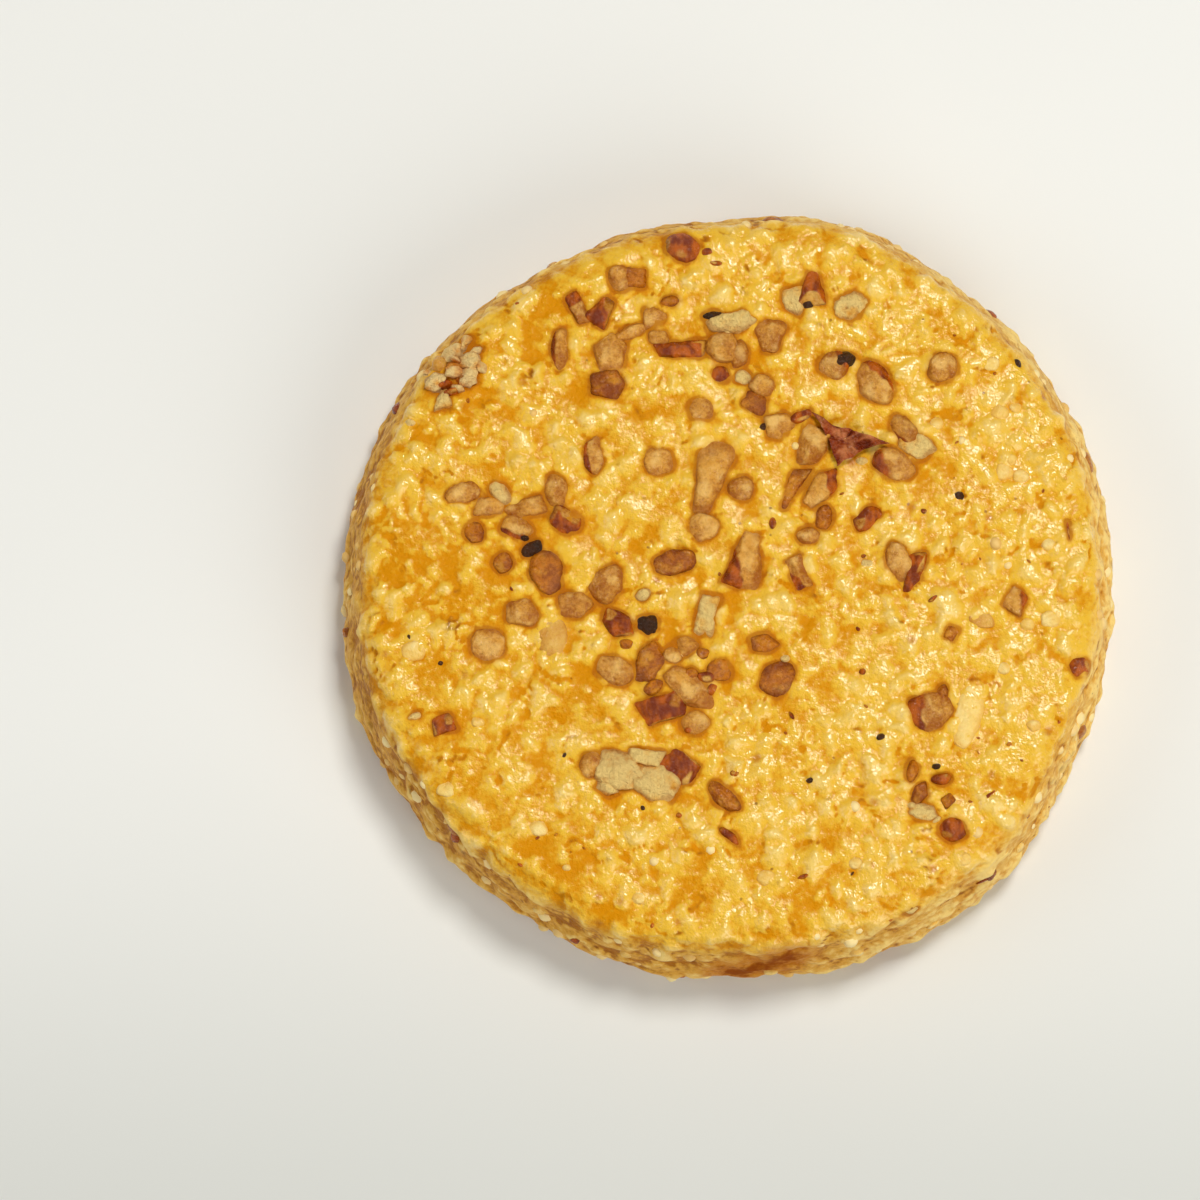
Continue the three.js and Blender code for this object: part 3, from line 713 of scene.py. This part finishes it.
# %% The shape of one chip
CHIP_DEPTH = 1.1
DEPTH_SHARE = 0.6
TOP_TILT = (-0.3, 0.3)
TOP_REACH = (0.75, 0.95)
SIDE_TURN = (-10, 10)
SIDE_TILT = (0.05, 0.45)
SIDE_REACH = (0.84, 1.1)
BREAK_TILT = (0.7, 1.6)
BREAK_REACH = (0.6, 0.92)
SOFTNESS = {0: 8, 3: 11, 4: 14, 5: 12}
TOP_BREAKS = 4
PEBBLE_SIDES = 7
WEDGE_SIDES = [(70, 0.72), (180, 0.9), (290, 0.72), (0, 1.0)]
FINENESS = ((3.4, 5), (2.0, 4), (0.9, 3), (0.0, 2))
PLAIN_ROUGHNESS = 0.1
ROUGHNESS = {"cream": 0.24, "flake": 0.34, "skin": 0.1, "char": 0.2, "buried": 0.06, "pale": 0.1}
FULL_RELIEF_WIDTH = 2.2
SMALLEST_RINGED = 1.4
PALE_LIT_TOP = 0.8


def ball(level):
    """Points and faces of a round ball of nearly equal triangles."""
    builder = bmesh.new()
    bmesh.ops.create_icosphere(builder, subdivisions=level, radius=1)
    points = np.array([vertex.co[:] for vertex in builder.verts])
    faces = np.array([[vertex.index for vertex in face.verts] for face in builder.faces])
    builder.free()
    return points, faces


BALLS = {level: ball(level) for _, level in FINENESS}


def bearing(angle):
    return math.cos(angle), math.sin(angle)


def broken_block(directions, corners, random):
    """A block with flat sides and soft edges, and how far each point belongs to each side.

    corners is 0 for a pebble."""
    if corners == 3:
        sides = WEDGE_SIDES
    else:
        count = corners or PEBBLE_SIDES
        sides = [(360 * (side + 0.5 * (corners != 4)) / count, 0.9) for side in range(count)]
    top = (random.uniform(*TOP_TILT), random.uniform(*TOP_TILT), 1)
    planes = [(top, random.uniform(*TOP_REACH)), ((0, 0, -1), 1.0)]
    for degrees, distance in sides:
        angle = math.radians(degrees + random.uniform(*SIDE_TURN))
        lean = random.uniform(*SIDE_TILT)
        planes.append(((*bearing(angle), lean), distance * random.uniform(*SIDE_REACH)))
    for _ in range(TOP_BREAKS):
        angle = random.uniform(0, 2 * math.pi)
        lean = random.uniform(*BREAK_TILT)
        planes.append(((*bearing(angle), lean), random.uniform(*BREAK_REACH)))
    stops = []
    for normal, distance in planes:
        normal = np.array(normal) / np.linalg.norm(normal)
        stops.append((np.maximum(directions @ normal, 0) / distance) ** SOFTNESS[corners])
    total = np.sum(stops, axis=0)
    return directions * total[:, None] ** (-1 / SOFTNESS[corners]), np.array(stops) / total


def bumpy(points, size, seed):
    """Smooth noise between about -1 and 1 at each point."""
    shift = Vector((seed * 3.7, seed * 1.3, seed * 7.1))
    return np.array([noise.noise(Vector(point) / size + shift) for point in points])


def chip_points(seed, x, y, length, width, look, rise, turn=0, corners=0, skin_side=None, stand=None):
    """One chip in its place. stand is the frame it rests in, or None for a chip on the face."""
    random = np.random.default_rng(seed)
    directions, faces = BALLS[next(level for least, level in FINENESS if length >= least)]
    points, belongs = broken_block(directions, corners, random)
    shows = points[points[:, 2] > -0.05]
    low, high = shows.min(0), shows.max(0)
    points[:, :2] = (points[:, :2] - (low + high)[:2] / 2) / (high - low)[:2]
    points[:, :2] *= (length, width)
    points[:, 2] *= np.where(points[:, 2] > 0, rise / high[2], min(CHIP_DEPTH, DEPTH_SHARE * width))

    rough = ROUGHNESS.get(look, PLAIN_ROUGHNESS) * min(1, width / FULL_RELIEF_WIDTH)
    relief = rough * (bumpy(points, 1.0, seed) + 0.6 * bumpy(points, 0.45, seed + 0.5))
    relief += 0.1 * min(1, width / 3) * bumpy(points, 1.9, seed + 0.3)
    if look in ("skin", "flake"):
        folds = 1 - 2 * np.abs(bumpy(points * (1, 2.4, 1), 1.5, seed + 0.8))
        relief += rough * 0.8 * folds
    points += directions * relief[:, None]
    up = np.clip(points[:, 2] / rise, 0, 1)
    if length < SMALLEST_RINGED:
        up = 0.6 + 0.4 * up

    # Each broken side has a tone of its own. The top is a pale one, partly the flesh's own colour and
    # partly painted light.
    tones = random.uniform(0, 1, len(belongs))
    tones[0] = PALE_LIT_TOP
    if stand is None:
        stand = resting_frame(x, y, max(length, width) / 2)
    turned = np.array((stand @ Matrix.Rotation(math.radians(turn), 4, "Z")).to_3x3())
    shown = points @ turned.T + np.array(stand.translation)
    skin = np.zeros(len(points))
    if look == "skin":
        bare = [random.integers(2, len(belongs) - TOP_BREAKS), len(belongs) - 1]
        skin = belongs[bare].sum(0) + 0.2 * bumpy(points, 0.7, seed)
        skin = 1 - np.clip((skin - 0.4) / 0.25, 0, 1)
    elif skin_side is not None:
        flat = (shown[:, :2] - (x, y)) / (min(length, width) / 2)
        skin = flat @ np.array(bearing(math.radians(skin_side)))
        skin = np.clip((skin + 0.25 * bumpy(points, 0.9, seed + 0.2) - 0.42) / 0.12, 0, 1)
    values = {"up": up, "skin": skin, "facet": tones @ belongs,
              "shade": np.full(len(points), random.random())}
    return shown, faces, values


def leaning_frame(degrees, height):
    """A frame that stands things out from the wall, in mm."""
    outwards = Vector((*bearing(math.radians(degrees)), 0))
    start = (outwards * 2 * MEAN_EDGE + Vector((0, 0, height))) * MM
    hit = dough_tree.ray_cast(start, -outwards)[0] / MM
    upwards = Vector((0, 0, 1))
    turned = Matrix((upwards.cross(outwards), upwards, outwards)).transposed().to_4x4()
    return Matrix.Translation(hit) @ turned


# %% [markdown]
# ## One scrap of skin
# Beside the thickest cluster a scrap of walnut skin has come loose and curled up as it dried. It
# is a thin sheet, not a block, so it gets a shape of its own: a triangle with three drawn-out tips,
# folds that fan out from its middle, and a raised edge.

# %% The scrap of skin
FLAP_TIPS = np.array([(8.0, 16.6), (15.5, 13.6), (10.4, 11.2)])
FLAP_MIDDLE = np.array((11.1, 13.9))
FLAP_STEPS = 30
FLAP_THICKNESS = 0.22
FLAP_WAIST = 0.36
FLAP_LIFT = 0.2


def skin_flap():
    """A scrap of papery skin with three drawn-out tips, raised at its edges and folded."""
    grid = [(i, j) for i in range(FLAP_STEPS + 1) for j in range(FLAP_STEPS + 1 - i)]
    index = {place: k for k, place in enumerate(grid)}
    shares = np.array([(i, j, FLAP_STEPS - i - j) for i, j in grid]) / FLAP_STEPS
    flat = shares @ FLAP_TIPS
    flat += (FLAP_MIDDLE - flat) * (FLAP_WAIST * (1 - (shares ** 2).sum(1)))[:, None]
    flat += 0.3 * np.column_stack([bumpy(shares * 3, 0.7, 8.0), bumpy(shares * 3, 0.7, 9.0)])
    raised = 1 - 27 * shares.prod(1)
    apart = flat - FLAP_MIDDLE
    around = np.arctan2(apart[:, 1], apart[:, 0])
    away = np.linalg.norm(apart, axis=1)
    spots = np.column_stack([2.0 * np.cos(around), 2.0 * np.sin(around), 0.5 * away])
    folds = 1 - 3 * np.abs(bumpy(spots, 1.0, 4.0)) + 0.5 * bumpy(spots, 0.4, 6.0)
    ground_height = np.array([surface_height(x, y) for x, y in flat])
    rise = ground_height + FLAP_LIFT + 0.6 * raised + 0.4 * folds * np.minimum(away, 1)
    top = np.column_stack([flat, rise])

    faces = []
    for (i, j), here_index in index.items():
        right, up_right, up_left = (index.get(key) for key in ((i + 1, j), (i, j + 1), (i + 1, j - 1)))
        if right is not None and up_right is not None:
            faces.append((here_index, right, up_right))
        if right is not None and up_left is not None:
            faces.append((here_index, up_left, right))
    (x0, y0), (x1, y1), (x2, y2) = (flat[k] for k in faces[0])
    if (x1 - x0) * (y2 - y0) < (x2 - x0) * (y1 - y0):
        faces = [face[::-1] for face in faces]
    edges = {(a, b) for face in faces for a, b in zip(face, face[1:] + face[:1])}
    rim = [(a, b) for a, b in edges if (b, a) not in edges]
    count = len(top)
    below = [tuple(k + count for k in face[::-1]) for face in faces]
    sides = [part for a, b in rim for part in ((b, a, a + count), (b, a + count, b + count))]
    # The fold height also colours the scrap: lighter, with more crust, on the ridges and darker in the
    # troughs. This is painted light and shade.
    facet = np.clip(0.5 + 0.7 * folds, 0, 1)
    values = {"up": 0.4 + 0.5 * facet, "skin": np.zeros(count), "facet": facet,
              "shade": np.full(count, 0.5)}
    values = {label: np.r_[column, column] for label, column in values.items()}
    points = np.vstack([top, top - (0, 0, FLAP_THICKNESS)])
    return points, np.array(faces + below + sides), values


# %% All chips, one mesh for each look
def joined(name, parts):
    """Several (points, faces, values) as one mesh."""
    all_points, faces, values = zip(*parts)
    starts = np.cumsum([0] + [len(points) for points in all_points])
    all_faces = np.vstack([part + start for part, start in zip(faces, starts)]).tolist()
    attributes = {label: np.concatenate([part[label] for part in values]) for label in values[0]}
    return place_object(new_mesh(name, np.vstack(all_points), all_faces, attributes))


WALL_TURN = 30
chip_parts, ringed_parts = {}, []
for number, chip in enumerate(CHIPS, start=1):
    part = chip_points(number, *chip)
    length, look = chip[2], chip[4]
    chip_parts.setdefault(look, []).append(part)
    if look not in ("pale", "buried") and length > SMALLEST_RINGED:
        ringed_parts.append(part)
chip_parts["peel"] = [skin_flap()]
for number, (degrees, height, length, width, look, rise) in enumerate(WALL_CHIPS, len(CHIPS) + 1):
    stand = leaning_frame(degrees, height)
    part = chip_points(number, 0, 0, length, width, look, rise, WALL_TURN * number, stand=stand)
    chip_parts[look].append(part)
chips = {look: joined(f"chips_{look}", parts) for look, parts in chip_parts.items()}
for look, piece in chips.items():
    print(look, "chips:", len(chip_parts[look]), "with", len(piece.data.polygons), "faces")

# %% [markdown]
# ## Where the nuts touch the dough
# Nuts sweat oil as they bake, and the egg wash gathers against them, so each chip stands in an
# amber ring. Geometry Proximity measures how far each point of the dough is from the nearest
# chip. The distance is stored for the colour, and it also draws the dough up a little there. A
# chip pushed into soft dough flattens what lies under it, so the dough is pressed down there.

# %% The ring round the chips
PRESSED_BELOW = 0.12
SMOOTH_ROUNDS = 4
all_chips = joined("all chips", ringed_parts)
ring_inputs = {"Chips": all_chips, "Ring width": 0.6, "Ring height": 0.2, "Press depth": 0.55}
tree, given, result = new_recipe("dough drawn up to the chips", ring_inputs)
chip_shape = shape_of(given["Chips"])
nearest = add(tree, "GeometryNodeProximity", {0: chip_shape}, target_element="FACES")
distance_mm = nearest["Distance"] / MM
lift = rising(distance_mm, given["Ring width"], 0.0) * given["Ring height"]
ringed = store(given["Geometry"], "near_chip", distance_mm)

# Dough that would poke through the top of a chip is pressed to just below it.
down = add(tree, "GeometryNodeRaycast", {
    "Target Geometry": chip_shape, "Ray Direction": (0, 0, -1),
    "Ray Length": given["Press depth"] * MM})
pressed = (down["Hit Distance"] / MM + PRESSED_BELOW) * -1.0
shift = add(tree, "ShaderNodeMix", {0: down["Is Hit"], 2: lift, 3: pressed})[0]
ringed = move(ringed, Offset=joint(0.0, 0.0, softened(shift, 1, 1.0) * MM))

# The wash also smooths the dough right beside a chip.
x, y, z = split(position(tree))
close_by = rising(*read(tree, "near_chip"), given["Ring width"], 0.1)
ringed = move(ringed, Position=joint(x, y, softened(z, SMOOTH_ROUNDS, close_by * 0.9)))
result.fill({0: ringed})

dough = cooked(dough, tree, ring_inputs, "dough")
bpy.data.objects.remove(all_chips)
print("dough again:", len(dough.data.polygons), "faces")

# %% [markdown]
# ## Puffed grains
# Amaranth puffs to a pale, slightly flattened bead. Dozens of them stick out of the wall, and a
# few out of the face. Geometry Nodes scatter them: points on the dough, more where the wall is,
# then a small bead on each point, turned and sized at random, and the instances made real at the
# end.

# %% The scatter recipe
def any_number(tree, low, high, seed):
    inputs = {2: low, 3: high, 8: seed}
    return add(tree, "FunctionNodeRandomValue", inputs, data_type="FLOAT")[1]


def any_turn(tree, seed):
    inputs = {0: (0, 0, 0), 1: (2 * math.pi,) * 3, 8: seed}
    return add(tree, "FunctionNodeRandomValue", inputs, data_type="FLOAT_VECTOR")[0]


def scatter(name, labels, chance):
    """Puts copies of a bead on the dough. chance is a function of the tree: 0 to 1 at each spot."""
    tree, given, result = new_recipe(name, labels)
    points = add(tree, "GeometryNodeDistributePointsOnFaces", {
        "Mesh": given["Geometry"], "Distance Min": given["Spacing"] * MM,
        "Density Max": given["Per square metre"], "Density Factor": chance(tree),
        "Seed": given["Seed"]}, distribute_method="POISSON")
    inward = vector("SCALE", points["Normal"], given["Sunk"] * -MM)
    sunk = store(move(points["Points"], Offset=inward), "shade", any_number(tree, 0.0, 1.0, 5))
    turns = {0: points["Rotation"], 1: any_turn(tree, 3)}
    turn = add(tree, "FunctionNodeRotateRotation", turns, rotation_space="LOCAL")[0]
    beads = add(tree, "GeometryNodeInstanceOnPoints", {
        "Points": sunk, "Instance": shape_of(given["Bead"]), "Rotation": turn,
        "Scale": any_number(tree, given["Smallest"], given["Largest"], 4)})[0]
    real = add(tree, "GeometryNodeRealizeInstances", {0: beads})[0]
    named = add(tree, "GeometryNodeSetMaterial", {"Geometry": real, "Material": given["Finish"]})
    result.fill({0: named[0]})
    return cooked(place_object(dough.data.copy()), tree, labels, name)


# %% [markdown]
# ## Finishes
# Every colour here was first read off the real thing as a screen shows it. The dough is golden,
# with cream tops, orange hollows and an amber ring at each chip, all taken from the heights that
# the relief recipe stored. The cream tops and orange hollows are partly the wash's own colour and
# partly painted light and shade. On top comes what is too small for the mesh: mottling, brown
# specks of bran and a fine bump. The egg wash is a clear coat over the dough. It has its own bump,
# a weaker one, so its gloss breaks into small glints as it does on a baked glaze. The wall has none.

# %% Helpers for materials
def new_finish(name, roughness, specular=0.5, coat=0.0):
    """A material with its shader, and the place on the piece in mm."""
    material = bpy.data.materials.new(name)
    material.use_nodes = True
    tree = material.node_tree
    tree.nodes.clear()
    shader = add(tree, "ShaderNodeBsdfPrincipled", {
        "Roughness": roughness, "IOR": 1.45, "Specular IOR Level": specular,
        "Coat Weight": coat, "Coat Roughness": 0.12})
    add(tree, "ShaderNodeOutputMaterial", {"Surface": shader[0]})
    place = add(tree, "ShaderNodeTexCoord")["Object"]
    return material, shader, vector("SCALE", place, 1 / MM)


def stored(tree, *names):
    return [add(tree, "ShaderNodeAttribute", attribute_name=name)["Fac"] for name in names]


def bump(height, distance_mm, strength=1.0):
    inputs = {"Strength": strength, "Distance": distance_mm * MM, "Height": height}
    return add(height.tree, "ShaderNodeBump", inputs)[0]


# %% Baked dough
CREAM = screen_colour(249, 211, 110)
GOLD = screen_colour(242, 190, 48)
ORANGE = screen_colour(216, 140, 0)
AMBER = screen_colour(196, 112, 2)
DARK_TAN = screen_colour(170, 104, 28)
TAN = screen_colour(224, 164, 66)
PALE_TAN = screen_colour(252, 216, 130)
BROWN = screen_colour(128, 66, 18)
RING_BROWN_AND_SHADE = screen_colour(174, 96, 8)
CARAMEL = screen_colour(142, 62, 0)
CARAMEL_LINE = ((0.3, -38.0, 4.8), (2.3, -38.0, 5.8), (4.0, -37.8, 7.2), (6.0, -37.0, 9.6))
CARAMEL_STEPS = 3
FAR_OFF = 9.0
MATT = 0.45
WASH_IOR = 1.63
BUMP_MM = 0.17
WASH_BUMP_MM = 0.11


def dough_finish():
    material, shader, here = new_finish("baked dough", MATT, specular=0.08)
    lump, grain, pit, on_wall, under, near_chip, blotch, crease, crag = stored(
        here.tree, "lump", "grain", "pit", "on_wall", "under", "near_chip", "blotch", "crease", "crag")

    # Tone: 0 in the orange hollows, 1 on the cream tops, partly the wash's own colour and partly
    # painted light and shade. It is painted a little paler towards the right, where the key light stands.
    large = cloud(shifted(here, (3, 1, 2)), 9.0)
    fine = cloud(shifted(here, (2, 9, 7)), 0.6, 3.0, 0.6)
    x_towards_light = split(here)[0]
    tone_and_shading = (lump * 0.58 + grain * 0.32 + large * 0.3 + blotch * 0.8 + fine * 0.5 - crease * 0.55
            + x_towards_light * 0.0016 - 0.29)
    # The narrow gaps between the small lumps are darker still: partly wash that pooled and browned
    # there, and partly painted shade.
    tone_and_shading = tone_and_shading - rising(grain, 0.6, 0.0) * rising(lump, 0.8, 0.0) * 0.05
    golden = blend(rising(tone_and_shading, -0.08, 0.26), ORANGE, GOLD)
    golden = blend(rising(tone_and_shading, 0.24, 0.85), golden, CREAM)

    # The wall is painted darker in its recesses, which is painted shade, and paler towards the right,
    # where the light comes from, which is painted light.
    wall_tone_and_shading = tone_and_shading + crag * 1.3 + fine * 0.5 - 0.2 + rising(x_towards_light, 4.0, 24.0) * 0.2
    baked = blend(rising(wall_tone_and_shading, -0.15, 0.25), DARK_TAN, TAN)
    baked = blend(rising(wall_tone_and_shading, 0.2, 0.75), baked, PALE_TAN)
    colour = blend(on_wall * 0.85, golden, baked)
    colour = blend(under * 0.6, colour, TAN)
    # Each pit is darkened, amber on the face and brown on the wall: painted shade in the hollow.
    colour = blend(pit * 0.75, colour, blend(on_wall, AMBER, BROWN))
    # Creases are darkened brown in patches: painted shade in the creases.
    dark = rising(cloud(shifted(here, (6, 2, 5)), 1.6), 0.5, 0.64)
    colour = blend(crease * dark * 0.75, colour, BROWN)

    # The amber ring, and a thin brown line right against the chip: partly wash that dried there,
    # and partly painted contact shade.
    uneven = near_chip + blotch
    colour = blend(rising(uneven, 0.6, 0.1) * 0.5, colour, AMBER)
    colour = blend(rising(uneven, 0.3, 0.1) * 0.65, colour, RING_BROWN_AND_SHADE)

    # Specks of bran: a few cells in a hundred hold one.
    speck_cells = cells(shifted(here, (5, 1, 3)), 1.5)
    luck = split(speck_cells["Color"])[0]
    speck = (luck > RARE) * rising(speck_cells["Distance"] + fine * 0.2, 0.24, 0.15)
    colour = blend(speck * 0.7, colour, BROWN)

    # Sugar that ran to the tray and browned there.
    run = FAR_OFF
    for start, end in zip(CARAMEL_LINE, CARAMEL_LINE[1:]):
        for step in range(CARAMEL_STEPS):
            spot = Vector(start).lerp(Vector(end), step / CARAMEL_STEPS)
            run = sum_of("MINIMUM", run, vector("DISTANCE", here, spot))
    ragged = cloud(shifted(here, (3, 6, 9)), 1.5, 3.0, 0.6)
    run = run + blotch * 2.0 + ragged * 4.4 - 3.4
    caramel = rising(run, 0.9, -0.5)
    colour = blend(rising(run, 3.6, 0.2) * 0.75, colour, AMBER)
    colour = blend(caramel * 0.9, colour, CARAMEL)

    # The wash is a clear coat, thickest and glossiest on the pale tops, and soaked in at a chip.
    gloss = rising(tone_and_shading, -0.05, 0.3) * rising(on_wall, 0.7, 0.1) * rising(uneven, 0.2, 0.9)
    gloss = gloss * (1.0 - under) * (1.0 - caramel)
    height = fine + cloud(shifted(here, (1, 4, 6)), 0.33) * 0.8
    shader.fill({
        "Base Color": colour, "Roughness": caramel * 0.4 + MATT, "Normal": bump(height, BUMP_MM),
        "Coat Weight": gloss, "Coat IOR": WASH_IOR, "Coat Normal": bump(height, WASH_BUMP_MM)})
    return material


# %% Nuts
SKIN_DARK = screen_colour(124, 44, 0)
SKIN_LIGHT = screen_colour(190, 92, 6)
MOST_GLAZED_CRUST = 0.1
GLAZE = 0.5
COAT_BUMP_SHARE = 1.3


def nut_finish(name, dark, light, crust, rim, roughness, crusty, bump_mm):
    """Flesh whose tone changes from side to side, with a pale crust, a dark rim at the foot that is
    partly painted shade, and the skin.
    """
    glaze = 0.0 if crusty > MOST_GLAZED_CRUST else GLAZE
    material, shader, here = new_finish(name, roughness, specular=0.15, coat=glaze)
    facet, shade, up, skin = stored(here.tree, "facet", "shade", "up", "skin")
    patches = cloud(here, 1.3, 3.0) - MIDDLE
    fine = cloud(shifted(here, (4, 4, 4)), 0.3, 3.0, 0.65) - MIDDLE
    tone_and_shading = facet * 0.45 + shade * 0.3 + patches * 1.1 + fine * 1.2 + 0.14
    colour = blend(rising(tone_and_shading, 0.05, 1.0), dark, light)
    flaky = cloud(shifted(here, (9, 3, 1)), 1.4, 3.0) + facet * 0.16 + up * 0.12 + fine * 0.12 + crusty
    colour = blend(rising(flaky, 0.56, 0.92) * 0.7, colour, crust)
    # A dark rim low on each chip, partly wash soaked in there and partly painted shade where the chip
    # meets the dough.
    colour = blend(rising(up + patches, 0.5, 0.05) * 0.5, colour, rim)
    streaks = cloud(shifted(here, (8, 1, 1), (1.6, 0.8, 1)), 1.4)
    colour = blend(skin, colour, blend(rising(streaks, 0.36, 0.66), SKIN_DARK, SKIN_LIGHT))
    height = fine + patches * 0.6
    shader.fill({
        "Base Color": colour, "Roughness": roughness + fine * 0.5 - skin * 0.08,
        "Normal": bump(height, bump_mm), "Coat Normal": bump(height, bump_mm * COAT_BUMP_SHARE)})
    return material


# dark, light, crust, rim (wash at the foot of a chip, partly painted shade), then roughness, how much
# crust there is and the bump in mm.
NUT_COLOURS = {
    "nut": ((168, 94, 10), (226, 160, 60), (250, 202, 112), (160, 82, 0), 0.36, -0.02, 0.24),
    "cream": ((224, 142, 34), (255, 194, 86), (255, 228, 148), (170, 86, 0), 0.55, 0.2, 0.55),
    "amber": ((140, 64, 0), (202, 118, 0), (226, 160, 44), (104, 42, 0), 0.3, -0.08, 0.2),
    "skin": ((168, 94, 10), (212, 148, 46), (232, 184, 90), (98, 38, 0), 0.3, -0.02, 0.22),
    # The peel's crust colour gathers on the ridges of its folds, partly a painted highlight.
    "peel": ((104, 28, 0), (164, 66, 14), (226, 144, 84), (76, 20, 0), 0.26, -0.04, 0.3),
    "flake": ((210, 110, 0), (255, 184, 66), (255, 232, 164), (150, 68, 0), 0.6, 0.16, 0.5),
    "char": ((42, 18, 0), (76, 38, 8), (112, 66, 26), (26, 10, 0), 0.34, -0.16, 0.35),
    "buried": ((208, 142, 44), (226, 170, 70), (236, 192, 96), (196, 124, 26), 0.34, -0.04, 0.16),
    "pale": ((240, 188, 80), (250, 212, 116), (254, 228, 152), (230, 170, 60), 0.36, -0.02, 0.16),
}
finishes = {}
for look, (*colours, roughness, crusty, bump_mm) in NUT_COLOURS.items():
    tones = [screen_colour(*colour) for colour in colours]
    finishes[look] = nut_finish(f"walnut {look}", *tones, roughness, crusty, bump_mm)

dough.data.materials.append(dough_finish())
for look, piece in chips.items():
    piece.data.materials.append(finishes[look])
print(len(bpy.data.materials), "finishes")

# %% The scattered grains
BEAD_FLATNESS = 0.88
ON_FACE_SHARE = 0.12
ON_WALL_SHARE = 0.4
CLEAR_OF_TRAY = (1.0, 1.4)
CLEAR_OF_CHIP = (0.4, 0.9)
CLEAR_OF_STAIN = (3.0, 4.0)
GRAIN_DARK = screen_colour(234, 184, 90)
GRAIN_LIGHT = screen_colour(252, 226, 156)


def bead_shape(name):
    """A bead of a few dozen faces, one millimetre across."""
    builder = bmesh.new()
    bmesh.ops.create_uvsphere(builder, u_segments=8, v_segments=6, radius=0.5 * MM)
    bmesh.ops.scale(builder, verts=builder.verts, vec=(1, 1, BEAD_FLATNESS))
    mesh = bpy.data.meshes.new(name)
    builder.to_mesh(mesh)
    builder.free()
    mesh.polygons.foreach_set("use_smooth", [True] * len(mesh.polygons))
    return place_object(mesh)


def grain_finish():
    material, shader, here = new_finish("puffed amaranth", 0.5)
    share = stored(here.tree, "shade")[0] * 0.7 + cloud(here, 0.9) * 0.5
    shader.fill({"Base Color": blend(rising(share, 0.1, 0.9), GRAIN_DARK, GRAIN_LIGHT),
                 "Normal": bump(cloud(here, 0.3), 0.1, 0.5)})
    return material


def grain_chance(tree):
    """Many in the wall and a few patches on the face, none on a chip, the stain or the tray."""
    wall, under, near = read(tree, "on_wall", "under", "near_chip")
    here = place_in_mm(tree)
    from_stain = vector("DISTANCE", here, CARAMEL_LINE[1])
    chance = rising(cloud(here, 6.0), 0.5, 0.66) * ON_FACE_SHARE + wall * ON_WALL_SHARE
    chance = chance * rising(split(here)[2], *CLEAR_OF_TRAY) * (1.0 - under)
    return chance * rising(near, *CLEAR_OF_CHIP) * rising(from_stain, *CLEAR_OF_STAIN)


bead = bead_shape("bead")
grains = scatter("amaranth_grains", {
    "Bead": bead, "Finish": grain_finish(), "Spacing": 1.6, "Per square metre": 120000.0,
    "Smallest": 1.0, "Largest": 1.7, "Sunk": 0.36, "Seed": 11}, grain_chance)
print("grains:", len(grains.data.polygons), "faces")

# %% [markdown]
# ## Floor, light and camera
# The main light is small and high on the far right, which gives the glaze its glints and each chip
# a short shadow. Two broad, weak lights fill in from the near right and the left. The ground is
# pale paper, painted darker towards the near side as painted shade. The camera looks down from
# about half a metre through a long lens, a little tilted, so the near wall shows.

# %% The paper ground
PAPER_REACH = 900
PAPER_FAR = screen_colour(240, 240, 234)
PAPER_NEAR_SHADED = screen_colour(214, 215, 208)
PAPER_SHADE_FADE = (-5, -75)


def paper():
    corners = [(-PAPER_REACH, -PAPER_REACH, 0), (PAPER_REACH, -PAPER_REACH, 0),
               (PAPER_REACH, PAPER_REACH, 0), (-PAPER_REACH, PAPER_REACH, 0)]
    mesh = new_mesh("ground", corners, [(0, 1, 2, 3)])
    material, shader, here = new_finish("pale paper", 0.8)
    # The paper is painted darker towards the near side: painted shade.
    nearer_shade = rising(split(here)[1], *PAPER_SHADE_FADE) + cloud(here, 60.0) * 0.1
    shader.fill({"Base Color": blend(nearer_shade, PAPER_FAR, PAPER_NEAR_SHADED)})
    mesh.materials.append(material)
    return place_object(mesh)


ground = paper()


# %% Light
WARM = (1.0, 0.985, 0.965)
WHITE = (1, 1, 1)
ROOM_TINT = (1.0, 0.99, 0.97, 1)
ROOM_STRENGTH = 0.2


def soft_light(name, place, size, watts, colour):
    lamp = bpy.data.lights.new(name, "AREA")
    lamp.shape = "DISK"
    lamp.size = size
    lamp.energy = watts
    lamp.color = colour
    holder = place_object(lamp)
    holder.location = place
    holder.rotation_euler = (-Vector(place)).to_track_quat("-Z", "Y").to_euler()


# Name, place and width in metres, watts and colour.
soft_light("key", (0.17, 0.27, 0.68), 0.2, 3.2, WARM)
soft_light("fill from below", (0.34, -0.42, 0.34), 0.5, 1.8, WHITE)
soft_light("fill from the left", (-0.5, -0.05, 0.34), 0.4, 0.8, WHITE)
world = bpy.data.worlds.new("room")
world.use_nodes = True
background = world.node_tree.nodes["Background"].inputs
background["Color"].default_value = ROOM_TINT
background["Strength"].default_value = ROOM_STRENGTH
bpy.context.scene.world = world
bpy.context.scene.view_settings.view_transform = "Standard"

# %% Camera
CAMERA_PLACE = Vector((-6.307, -72.095, 514.939)) * MM
CAMERA_AIM = Vector((-12.907, -0.098, 0.0)) * MM
LENS = 156.0
FILM = 36.0

backwards = (CAMERA_PLACE - CAMERA_AIM).normalized()
rightwards = Vector((0, 1, 0)).cross(backwards).normalized()
upwards = backwards.cross(rightwards)
lens = bpy.data.cameras.new("camera")
lens.lens = LENS
lens.sensor_width = FILM
camera = place_object(lens)
camera.matrix_world = Matrix((rightwards, upwards, backwards)).transposed().to_4x4()
camera.location = CAMERA_PLACE
bpy.context.scene.camera = camera
print("camera", [round(value * 1000) for value in CAMERA_PLACE], "mm")

# %% [markdown]
# ## One body
# Every piece moves with the one body, and the solid that they stand in for is hidden.

# %% Pieces and the frame
bpy.data.objects.remove(bead)
pieces = [dough, grains, *chips.values()]
for piece in pieces:
    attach(piece, "root")
    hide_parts("cookie")
